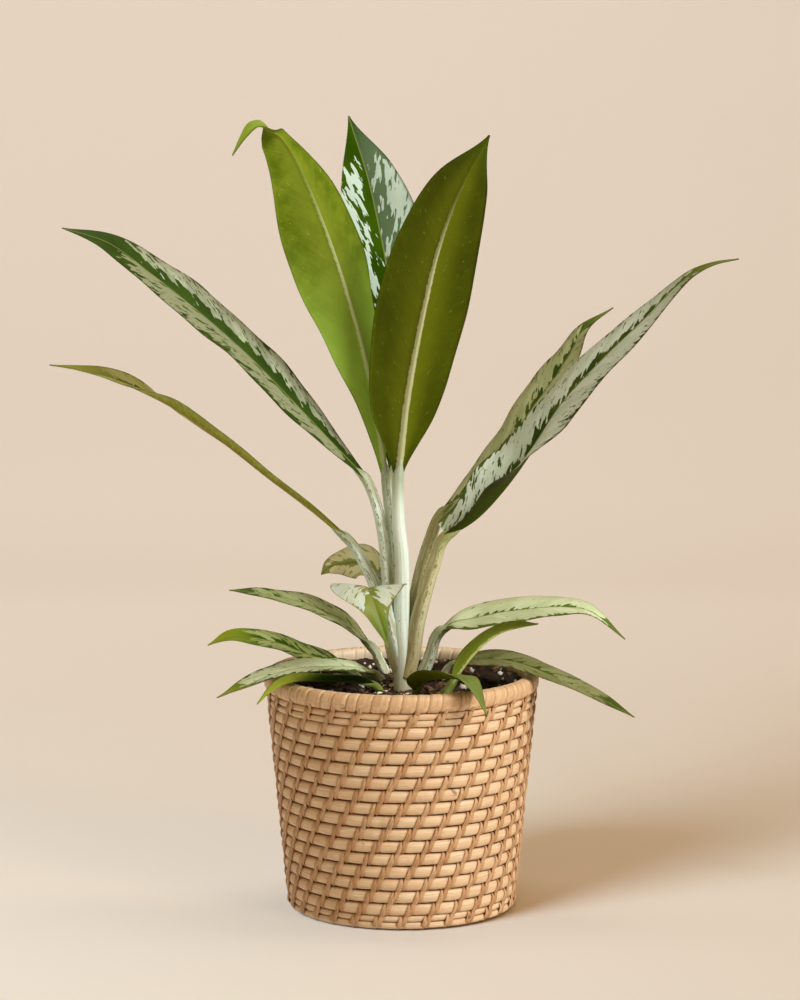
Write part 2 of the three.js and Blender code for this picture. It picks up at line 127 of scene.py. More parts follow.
class Shape:
    """Gathers points, faces and the numbers that the materials read at each point."""

    def __init__(self):
        self.points = []
        self.faces = []
        self.paints = []
        self.notes = {}
        self.count = 0

    def add(self, points, faces, paint=0, **notes):
        points = np.asarray(points, float).reshape(-1, 3)
        self.faces += [[corner + self.count for corner in face] for face in faces]
        self.paints += [paint] * len(faces) if isinstance(paint, int) else paint
        self.points.append(points)
        for name, values in notes.items():
            self.notes.setdefault(name, []).append(np.asarray(values, float).reshape(-1, 3))
        self.count += len(points)

    def tube(self, rings, closed=False, paint=0, **notes):
        """A skin over rings of points, with its two ends filled, or closed on itself."""
        rows, columns = rings.shape[:2]
        faces = grid_faces(rows, columns, closed_rows=closed, closed_columns=True)
        if not closed:
            faces.append(list(range(columns))[::-1])
            faces.append([(rows - 1) * columns + j for j in range(columns)])
        self.add(rings, faces, paint, **notes)

    def piece(self, name, materials, replaces=(), smooth=True):
        """The finished piece, riding on the root body."""
        item = place_mesh(name, np.concatenate(self.points) * MM, self.faces, materials, smooth)
        mesh = item.data
        for note, values in self.notes.items():
            attribute = mesh.attributes.new(note, "FLOAT_VECTOR", "POINT")
            attribute.data.foreach_set("vector", np.concatenate(values).ravel())
        mesh.polygons.foreach_set("material_index", self.paints)
        mesh.validate()
        mesh.update()
        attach(item, "root")
        if replaces:
            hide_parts(*replaces)


# Materials

def colour(text):
    """Scene-linear colour of a six-digit sRGB code."""
    parts = [int(text[i:i + 2], 16) / 255 for i in (0, 2, 4)]
    return [c / 12.92 if c < 0.04045 else ((c + 0.055) / 1.055) ** 2.4 for c in parts] + [1.0]


class Value:
    """What a material works out at each point. Sums of values add the nodes for them."""

    def __init__(self, paint, socket):
        self.paint = paint
        self.socket = socket

    def math(self, operation, *values):
        return self.paint.value("ShaderNodeMath", enumerate(values), operation=operation)

    def __add__(self, other):
        return self.math("ADD", self, other)

    def __sub__(self, other):
        return self.math("SUBTRACT", self, other)

    def __rsub__(self, other):
        return self.math("SUBTRACT", other, self)

    def __mul__(self, other):
        return self.math("MULTIPLY", self, other)

    def __abs__(self):
        return self.math("ABSOLUTE", self)

    def or_more(self, other):
        return self.math("MAXIMUM", self, other)

    def step(self, low, high):
        """0 below low, 1 above high, smooth between. low may lie above high."""
        inputs = {"Value": self, "From Min": low, "From Max": high}
        return self.paint.value("ShaderNodeMapRange", inputs, interpolation_type="SMOOTHSTEP")


class Paint:
    """A node material and short ways to add nodes to it. Colours are codes or values."""

    def __init__(self, name):
        self.material = bpy.data.materials.new(name)
        self.material.use_nodes = True
        self.tree = self.material.node_tree
        self.tree.nodes.clear()
        output = self.tree.nodes.new("ShaderNodeOutputMaterial")
        self.shader = self.tree.nodes.new("ShaderNodeBsdfPrincipled")
        self.tree.links.new(self.shader.outputs[0], output.inputs[0])

    def put(self, socket, value):
        if isinstance(value, Value):
            self.tree.links.new(value.socket, socket)
        elif isinstance(value, str):
            socket.default_value = colour(value)
        elif value is not None:
            socket.default_value = value

    def node(self, kind, inputs=(), **settings):
        item = self.tree.nodes.new(kind)
        for name, value in settings.items():
            setattr(item, name, value)
        for key, value in dict(inputs).items():
            self.put(item.inputs[key], value)
        return item

    def value(self, kind, inputs=(), output=0, **settings):
        return Value(self, self.node(kind, inputs, **settings).outputs[output])

    def note(self, name):
        """The three numbers that the mesh carries under this name."""
        vector = self.value("ShaderNodeAttribute", output="Vector", attribute_name=name)
        return [self.value("ShaderNodeSeparateXYZ", {0: vector}, axis) for axis in range(3)]

    def place(self):
        """The point in the frame's own axes."""
        return self.value("ShaderNodeTexCoord", output="Object")

    def noise(self, vector, scale, detail=2.0, roughness=0.5):
        inputs = {"Vector": vector, "Scale": scale, "Detail": detail, "Roughness": roughness}
        return self.value("ShaderNodeTexNoise", inputs)

    def streaks(self, x, y, z, detail=2.0, roughness=0.5):
        """Noise over three numbers, stretched where one of them grows slowly."""
        return self.noise(self.value("ShaderNodeCombineXYZ", {0: x, 1: y, 2: z}), 1.0, detail, roughness)

    def mix(self, below, above, share):
        return self.value("ShaderNodeMix", {0: share, 6: below, 7: above}, 2, data_type="RGBA")

    def layers(self, base, *layers):
        """base under layers of (colour, share)."""
        for above, share in layers:
            base = self.mix(base, above, share)
        return base

    def shade(self, base, share, amount):
        """base made darker or lighter by up to amount as share goes from 0 to 1."""
        factor = share * (2 * amount) + (1 - amount)
        return self.value("ShaderNodeVectorMath", {0: base, 1: factor}, operation="MULTIPLY")

    def ramp(self, value, stops):
        """A number along stops of (place, number)."""
        item = self.node("ShaderNodeValToRGB", {0: value})
        marks = item.color_ramp.elements
        while len(marks) < len(stops):
            marks.new(0.5)
        for mark, (place, level) in zip(marks, stops):
            mark.position = place
            mark.color = (level, level, level, 1)
        return self.value("ShaderNodeSeparateColor", {0: Value(self, item.outputs[0])})

    def done(self, base, roughness, height=None, relief=0.0, depth=0.0, shine=None):
        """Fills the shader in. height is a number that raises the surface by depth metres."""
        self.put(self.shader.inputs["Base Color"], base)
        self.put(self.shader.inputs["Roughness"], roughness)
        self.put(self.shader.inputs["Specular IOR Level"], shine)
        if height is not None:
            inputs = {"Strength": relief, "Distance": depth, "Height": height}
            self.put(self.shader.inputs["Normal"], self.value("ShaderNodeBump", inputs))
        return self.material


# Curves

def curve_line(points, steps):
    """Places and directions at even distances along a smooth line through points."""
    points = np.asarray(points, float)
    padded = np.vstack([2 * points[0] - points[1], points, 2 * points[-1] - points[-2]])
    dense = []
    for i in range(len(points) - 1):
        p0, p1, p2, p3 = padded[i:i + 4]
        d0, d1, d2 = (math.sqrt(np.linalg.norm(b - a)) for a, b in ((p0, p1), (p1, p2), (p2, p3)))
        leave = ((p1 - p0) / d0 - (p2 - p0) / (d0 + d1) + (p2 - p1) / d1) * d1
        arrive = ((p2 - p1) / d1 - (p3 - p1) / (d1 + d2) + (p3 - p2) / d2) * d1
        t = np.linspace(0, 1, 80, endpoint=i == len(points) - 2)[:, None]
        square = -3 * p1 + 3 * p2 - 2 * leave - arrive
        cube = 2 * p1 - 2 * p2 + leave + arrive
        dense.append(p1 + leave * t + square * t ** 2 + cube * t ** 3)
    dense = np.concatenate(dense)
    lengths = np.append(0, np.cumsum(np.linalg.norm(np.diff(dense, axis=0), axis=1)))
    wanted = np.linspace(0, lengths[-1], steps + 1)
    slopes = np.gradient(dense, lengths, axis=0)
    places, ways = (np.stack([np.interp(wanted, lengths, track[:, k]) for k in range(3)], -1)
                    for track in (dense, slopes))
    return places, unit(ways), wanted


def curve_value(values, t):
    """Smooth curve through evenly spaced values, at shares t of its length."""
    values = np.asarray(values, float)
    place = np.clip(t, 0, 1) * (len(values) - 1)
    i = np.minimum(place.astype(int), len(values) - 2)
    w = place - i
    v0, v1 = values[np.maximum(i - 1, 0)], values[i]
    v2, v3 = values[i + 1], values[np.minimum(i + 2, len(values) - 1)]
    leave, arrive = (v2 - v0) / 2, (v3 - v1) / 2
    cube = 2 * v1 - 2 * v2 + leave + arrive
    return cube * w ** 3 + (3 * (v2 - v1) - 2 * leave - arrive) * w ** 2 + leave * w + v1


def blend(stations, t):
    """Values between rows of (place, values...)."""
    stations = np.asarray(stations, float)
    result = np.tile(stations[0, 1:], (len(t), 1))
    for low, high in zip(stations, stations[1:]):
        share = smoothstep(t, low[0], high[0])[:, None]
        result = np.where(t[:, None] > low[0], low[1:] + share * (high[1:] - low[1:]), result)
    return result


# Basket

COIL_STEPS = 240
COIL_SIDES = 16
COIL_INSET = 1.7
COIL_DRIFT = 0.35
COIL_SWELL = 0.07
COIL_HALF = (3.5, 3.8)
THIN_COIL_HALF = (2.1, 2.0)
LASH_SPREAD = 0.1
LASH_DIP = 0.3
STRIP_STEPS = 22
STRIP_WIDTH = 3.25
STRIP_THICKNESS = 0.95
STRIP_TUCK = 1.6
STRIP_RISE = 3.65
STRIP_LEAN = 0.012
STRIP_PROFILE = np.array([
    [-1, 0], [-0.82, 0.42], [-0.4, 0.5], [0.4, 0.5], [0.82, 0.42], [1, 0], [0.7, -0.5], [-0.7, -0.5],
])
TOP_STRIP_START = 0.32
FOOT_STRIP_END = 0.52
FOOT_HEIGHT = 3.2
RIM_STEPS = 960
RIM_SIDES = 24
WRAP_THICKNESS = 0.42
WRAP_SWELL = 0.36
SEAM_DEPTH = 0.45
SEAM_WIDTH = 0.11
BASE_COILS = 9
BASE_COIL_STEP = 7.2


def wall_radius(z):
    return WALL_FOOT_RADIUS + (WALL_TOP_RADIUS - WALL_FOOT_RADIUS) * np.asarray(z, float) / WALL_TOP


def pinch(angle, marks, width):
    """How near an angle is to a repeated stitch mark: 1 on it, 0 away from it."""
    stitch = angle / TURN * STITCHES - WEAVE_TURN
    offsets = [(stitch - mark + 0.5) % 1 - 0.5 for mark in marks]
    return np.max([bump(offset, width) for offset in offsets], axis=0)


def wobble(points, seed, amount):
    """Smooth seeded unevenness along a run of plane points."""
    return amount * np.array([noise.noise(Vector((p[0], p[1], seed))) for p in points])


def coil_ring(shape, z, radius, half, marks, seed, groove=1.0):
    """One closed cane round the pot, drawn in where lashings cross it. half is its half depth and
    half height, and groove says how much painted shade its faces towards the grooves take."""
    angle = round_angles(COIL_STEPS)
    around = np.stack([np.cos(angle), np.sin(angle)], -1) * 2.3
    drift = wobble(around, seed, COIL_DRIFT)
    swell = 1 + wobble(around * 1.7, seed + 40, COIL_SWELL)
    tight = pinch(angle, marks, 0.14)
    middle = radius + drift * 0.6 - LASH_DIP * tight
    deep = half[0] * swell
    tall = half[1] * swell * (1 - 0.03 * tight)
    turn = round_angles(COIL_SIDES)
    bulge = signed_power(np.cos(turn), 0.75)
    rise = signed_power(np.sin(turn), 0.8)
    out = middle[:, None] + deep[:, None] * bulge
    up = z + 0.25 * drift[:, None] + tall[:, None] * rise
    grain = triples(out.shape, (angle * radius)[:, None], turn, seed)
    # The first number is where painted shade falls under the lashings, the second where painted shade falls
    # on the faces in the grooves.
    wear = triples(out.shape, tight[:, None], 1 - groove * (1 - bulge), 0.0)
    shape.tube(round_points(out, angle[:, None], up), closed=True, grain=grain, wear=wear)


def coils(material):
    """The rows of the wall. The first and the last are two thinner canes each."""
    shape = Shape()
    for row in range(ROWS):
        z = WALL_TOP - (row + 0.5) * ROW_HEIGHT
        middle = -row * STITCH_SHIFT
        marks = (middle - LASH_SPREAD, middle + LASH_SPREAD)
        radius = float(wall_radius(z)) - COIL_INSET
        seed = 3.1 * row
        if row in (0, ROWS - 1):
            for k, lift in enumerate((0.27, -0.27)):
                place = z + lift * ROW_HEIGHT
                coil_ring(shape, place, radius + 1.0, THIN_COIL_HALF, marks, seed + 7 * k, groove=0.5)
        else:
            coil_ring(shape, z, radius, COIL_HALF, marks, seed)
    shape.piece("basket_coils", [material], ("basket_wall",))


def strip_radius(row, part, z, crests):
    """How far out a strip runs: over two coils, and at its ends under the rim or round the foot."""
    wall = wall_radius(z)
    lift = STRIP_RISE * crests - STRIP_TUCK
    between_coils = (part > 0.25) & (part < 0.75)
    radius = wall + np.where(between_coils, np.maximum(lift, 0.95 + 1.1 * crests), lift)
    if row == -1:
        rim_height = (z - (POT_HEIGHT - RIM_HEIGHT / 2)) / (RIM_HEIGHT / 2)
        over_rim = RIM_RADIUS - 0.15 - 1.5 * rim_height ** 2
        return np.where(part < 0.5, np.maximum(over_rim, wall + 0.9), radius)
    if row == ROWS - 1:
        under = wall + 1.6 - (FOOT_HEIGHT - z) * 0.8
        return np.where(z < FOOT_HEIGHT, np.minimum(radius, under), radius)
    return radius


def lashing(material):
    """Slanted strips, each over two coils, with its ends tucked in the grooves."""
    shape = Shape()
    rng = np.random.default_rng(11)
    u = np.linspace(0, 1, STRIP_STEPS)
    taper = 1 - 0.45 * np.abs(2 * u - 1) ** 3
    for row in range(-1, ROWS):
        start = TOP_STRIP_START if row == -1 else 0.0
        end = FOOT_STRIP_END if row == ROWS - 1 else 1.0
        part = start + (end - start) * u
        z = WALL_TOP - row * ROW_HEIGHT - 2 * ROW_HEIGHT * part
        crests = np.abs(np.sin(TURN * part)) ** 0.55
        radius = strip_radius(row, part, z, crests)
        slant = STRIP_SLANT * (1 + 2.8 * (part - 0.5))
        for stitch in range(STITCHES):
            lean = rng.normal(0, STRIP_LEAN)
            wide = STRIP_WIDTH / 2 * rng.uniform(0.86, 1.1)
            mark = stitch - row * STITCH_SHIFT - STRIP_SLANT / 4 - slant + lean
            angle = (mark + WEAVE_TURN) / STITCHES * TURN
            centre = round_points(radius, angle, z)
            ways = unit(np.gradient(centre, axis=0))
            side = unit(np.cross(ways, round_points(1.0, angle, 0.0)))
            out = np.cross(side, ways)
            across = (STRIP_PROFILE[:, 0] * wide * taper[:, None])[..., None]
            thick = (STRIP_PROFILE[:, 1] * STRIP_THICKNESS)[:, None]
            rings = centre[:, None] + side[:, None] * across + out[:, None] * thick
            grid = rings.shape[:2]
            length = (part * 2 * ROW_HEIGHT)[:, None]
            grain = triples(grid, length, STRIP_PROFILE[:, 0], stitch * 1.7 + row * 31.0)
            # Where a strip dips between coils (1 - crests) it takes painted shade. The second number is the
            # strip's own tone.
            wear = triples(grid, (1 - crests)[:, None], rng.random(), 1.0)
            shape.tube(rings, grain=grain, wear=wear)
    shape.piece("basket_lashing", [material])


def rim(material):
    """The rim coil under its wrapping: each turn of the wrap swells a little between two seams."""
    rng = np.random.default_rng(5)
    edges = (np.arange(RIM_WRAPS) + rng.uniform(-0.22, 0.22, RIM_WRAPS)) / RIM_WRAPS
    edges = np.concatenate([[edges[-1] - 1], edges, [edges[0] + 1, edges[1] + 1]])
    angle = np.arange(RIM_STEPS) / RIM_STEPS
    turn = round_angles(RIM_SIDES)
    slant = -0.0022 * np.sin(turn) * np.sign(np.cos(turn) + 0.3)
    place = (angle[:, None] + slant) % 1
    index = np.clip(np.searchsorted(edges, place) - 1, 0, len(edges) - 2)
    share = (place - edges[index]) / (edges[index + 1] - edges[index])
    across = np.abs(2 * share - 1)
    tilt = rng.normal(0, 0.16, len(edges))
    swell = WRAP_SWELL * (1 - across ** 7) - SEAM_DEPTH * bump(across - 1, SEAM_WIDTH)
    swell += tilt[index % RIM_WRAPS] * (share - 0.5) * 1.2
    half_width, half_height = RIM_WIDTH / 2, RIM_HEIGHT / 2
    bulge = signed_power(np.cos(turn), 0.8)
    rise = signed_power(np.sin(turn), 0.8)
    out = RIM_RADIUS - half_width + (half_width - WRAP_THICKNESS + swell) * bulge
    up = POT_HEIGHT - half_height + (half_height - WRAP_THICKNESS + swell) * rise
    points = round_points(out, angle[:, None] * TURN, up)
    grain = triples(share.shape, turn * 5, share, index % RIM_WRAPS)
    # Painted light makes the rim's inner face paler, and painted shade darkens the seams between the wraps.
    inner = np.clip(0.3 - np.cos(turn), 0, 1)
    wear = triples(share.shape, bump(across - 1, 0.16), 1.0, inner)
    shape = Shape()
    shape.tube(points, closed=True, grain=grain, wear=wear)
    shape.piece("basket_rim_wrap", [material], ("basket_rim",))


def basket_base(material):
    """The coiled floor of the basket, with the inner face of its wall."""
    outline = [(0.02, 0.5)]
    for coil in range(BASE_COILS):
        middle = (coil + 0.5) * BASE_COIL_STEP
        for turn in np.linspace(0, math.pi, 9):
            outline.append((middle - 3.5 * math.cos(turn), 0.9 - 0.9 * math.sin(turn)))
    outline += [(66.6, 1.2), (66.6, 4.0), (64.2, 4.0), (77.2, WALL_TOP), (77.9, WALL_TOP)]
    outline += [(65.2, 3.2), (64.0, 2.4), (0.02, 2.4)]
    radius, z = np.array(outline).T[:, :, None]
    angle = round_angles(120)
    points = round_points(radius, angle, z)
    grid = points.shape[:2]
    shape = Shape()
    grain = triples(grid, angle * 60, radius / BASE_COIL_STEP, 0.0)
    # The base takes a little painted shade all over.
    shape.tube(points[::-1], grain=grain, wear=triples(grid, 0.6, 1.0, 0.0))
    shape.piece("basket_base", [material])


def rattan(name, pale, deep, dark, recess_shade, strip=False):
    paint = Paint(name)
    along, around, seed = paint.note("grain")
    tight, second, kind = paint.note("wear")
    lot = seed * 7.31
    if strip:
        streaks = paint.streaks(along * 0.1, around * 5.0, lot, 3.0, 0.6)
        patches = second
    else:
        streaks = paint.streaks(along * 0.05, around * 4.5, lot, 3.0, 0.65)
        patches = paint.streaks(along * 0.035, 0.0, lot, 2.0, 0.6)
    blotch = paint.noise(paint.place(), 55.0, 3.0, 0.6)
    fine = paint.streaks(along * 0.35, around * 16.0, lot, 2.0, 0.6)
    knots = paint.streaks(along * 0.16, around * 0.5, seed * 3.7, 1.0, 0.4)
    base = paint.layers(deep, (pale, streaks.step(0.3, 0.72)), (deep, patches.step(0.35, 0.8) * 0.6),
                        (dark, blotch.step(0.55, 0.8) * 0.22))
    base = paint.shade(base, fine, 0.07)
    # Knots are the cane's own. The second layer is painted shade under the lashings, where strips dip
    # between coils, in the rim's seams and a little on the base.
    base = paint.layers(base, (dark, knots.step(0.74, 0.80) * 0.7),
                        (dark, tight.step(0.45, 1.0) * recess_shade))
    # Painted shade on the coils' faces in the grooves, and painted light on the rim's inner face.
    if not strip:
        base = paint.layers(base, (dark, second.step(0.7, 0.25) * 0.8), ("f8e6c8", kind * 0.75))
    return paint.done(base, fine * 0.26 + 0.34, streaks * 0.6 + fine * 0.5, 0.35, 0.0008)


# Soil

SOIL_RADIUS = RIM_RADIUS - RIM_WIDTH - 2 * GAP
SOIL_FOOT = 60
SOIL_FOOT_RADIUS = 68
SOIL_SHOULDER_RADIUS = 74
SOIL_SIDES = 260
SOIL_RINGS = 92
BITS_RADIUS = SOIL_RADIUS - 3


def soil_height(x, y):
    slope = SOIL_RISE * np.tanh((y - 2) / 12)
    lumps = (np.sin(x * 0.31 + y * 0.17) * np.sin(y * 0.37 - x * 0.11)
             + 0.5 * np.sin(x * 0.83 + 1.7) * np.sin(y * 0.71 + 0.4))
    return SOIL_LEVEL + slope + SOIL_LUMP * lumps


def crumb(x, y):
    """Height of the soil's crumbs over its lumps."""
    rough = noise.fractal(Vector((x * 0.34, y * 0.34, 3.0)), 0.7, 2.1, 4)
    cell = noise.noise(Vector((x * 0.9, y * 0.9, 9.0)))
    return 0.85 * rough + 0.45 * cell


def soil(material):
    """A closed body of soil with a crumbly top."""
    angle = round_angles(SOIL_SIDES)
    rings = [round_points(SOIL_FOOT_RADIUS, angle, SOIL_FOOT),
             round_points(SOIL_SHOULDER_RADIUS, angle, SOIL_SHOULDER)]
    for share in np.linspace(1, 0.004, SOIL_RINGS):
        ring = round_points(SOIL_RADIUS * share, angle, 0.0)
        ring[:, 2] = soil_height(ring[:, 0], ring[:, 1])
        ring[:, 2] += [crumb(x, y) for x, y in ring[:, :2]]
        rings.append(ring)
    shape = Shape()
    shape.tube(np.array(rings))
    shape.piece("soil_body", [material], ("soil",))


def round_net():
    """Points and triangles of a ball, which the loose bits are bent from."""
    net = bmesh.new()
    bmesh.ops.create_icosphere(net, subdivisions=2, radius=1.0)
    points = np.array([v.co for v in net.verts])
    faces = [[v.index for v in face.verts] for face in net.faces]
    net.free()
    return points, faces


def loose_bits(name, material, count, seed, sizes, flatness, rough, lift, near, smooth):
    """Broken bits half sunk in the soil, no two alike. near is the share that lies by the trunk."""
    rng = np.random.default_rng(seed)
    ball, faces = round_net()
    shape = Shape()
    for i in range(count):
        place = BITS_RADIUS * math.sqrt(rng.random())
        angle = rng.uniform(0, TURN)
        x, y = place * math.cos(angle), place * math.sin(angle)
        if rng.random() < near:
            x, y = rng.normal(0, 17), rng.normal(-16, 14)
        if math.hypot(x, y) > BITS_RADIUS:
            continue
        size = rng.uniform(*sizes) / 2
        stretch = size * np.array([rng.uniform(0.8, 1.5), rng.uniform(0.6, 1.0), flatness])
        shift = Vector((i * 3.7, i * 1.3, seed))
        dents = np.array([1 + rough * noise.noise(Vector(p) * 1.6 + shift) for p in ball])
        points = signed_power(ball * dents[:, None], 0.8) * stretch
        tilts = rng.uniform(-0.6, 0.6, 2)
        roll = Euler((*tilts, rng.uniform(0, 6.3))).to_matrix()
        rest = float(soil_height(x, y)) + crumb(x, y)
        points = points @ np.array(roll).T + [x, y, rest + lift * size]
        tone = np.tile([rng.random(), rng.random(), i], (len(points), 1))
        shape.add(points, faces, lot=tone)
    shape.piece(name, [material], smooth=smooth)


def soil_paint():
    paint = Paint("soil_dark")
    grains = paint.noise(paint.place(), 900.0, 3.0, 0.7)
    clumps = paint.noise(paint.place(), 170.0, 3.0, 0.6)
    base = paint.layers("1c1209", ("3a281a", clumps.step(0.4, 0.7)), ("6a5239", grains.step(0.5, 0.7) * 0.6))
    return paint.done(base, 0.95, grains + clumps, 0.8, 0.0015)


def bark_paint():
    paint = Paint("bark_chips")
    tone, second = paint.note("lot")[:2]
    fibres = paint.noise(paint.place(), 420.0, 3.0, 0.6)
    base = paint.layers("2a1c10", ("664a30", tone.step(0.1, 0.9)), ("9c7850", second.step(0.8, 1.0) * 0.8))
    base = paint.shade(base, fibres, 0.3)
    return paint.done(base, 0.9, fibres, 0.6, 0.001)


def perlite_paint():
    paint = Paint("perlite")
    pores = paint.noise(paint.place(), 1400.0, 2.0, 0.6)
    tone = paint.note("lot")[0]
    base = paint.layers("fffaf0", ("e6dcc8", tone), ("9c8b74", pores.step(0.55, 0.75) * 0.5))
    return paint.done(base, 0.85, pores, 0.6, 0.0008)


def liner_paint():
    paint = Paint("liner_plastic")
    speckle = paint.noise(paint.place(), 300.0)
    scuffs = paint.noise(paint.place(), 40.0, 4.0, 0.7)
    base = paint.mix("17130f", "2b231c", scuffs.step(0.45, 0.75))
    return paint.done(base, speckle * 0.2 + 0.45, speckle, 0.15, 0.0003)


# Leaves, after the part's, apart from a few widths, turns and folds. line is the midrib, and face
# is the way its upper side looks. halves are half widths in even steps from foot to tip. face and
# fold are rows of (share of the length, values), and a fold may have one angle for each half.
# channel is where round the stalk its channel runs, in degrees. Left and right are as seen on the
# upper side with the tip away.

# What every leaf starts from. left and right run from the midrib to the margin as (place, level),
# and a high level leaves the silver field clear.
LEAF = dict(
    channel=-60, wave=0.7, fold=((0, 0.05), (1, 0.05)),
    light=("a9b98c", "84925e"), dark=("3c5414", "50681e"), margin="948a66", edge="4a4420", midrib="7f8c4a",
    tip="7a8a2c", under=("4c5808", "5f6c16", "5a6712"), rib="bdbf8c", fleck="9fab50",
    left=((0, 0.4), (0.16, 0.47), (0.4, 0.62), (0.8, 0.6), (1, 0.52)),
    right=((0, 0.4), (0.16, 0.47), (0.4, 0.62), (0.8, 0.6), (1, 0.52)), slope=1.3, fine=0.55, blots=(9, 13),
    greyed=0.7, browned=0.25, dashes=0.65, foot=0.18, foot_to=0.12, tint_from=(0.86, 1), rough=0.36,
    shine=0.18, flecks=0.74, rib_size=0.5, rib_to=0.95,
)

# One with no silver field
PLAIN = dict(left=((0, 0.1), (1, 0.1)), right=((0, 0.1), (1, 0.1)), dashes=0.9)

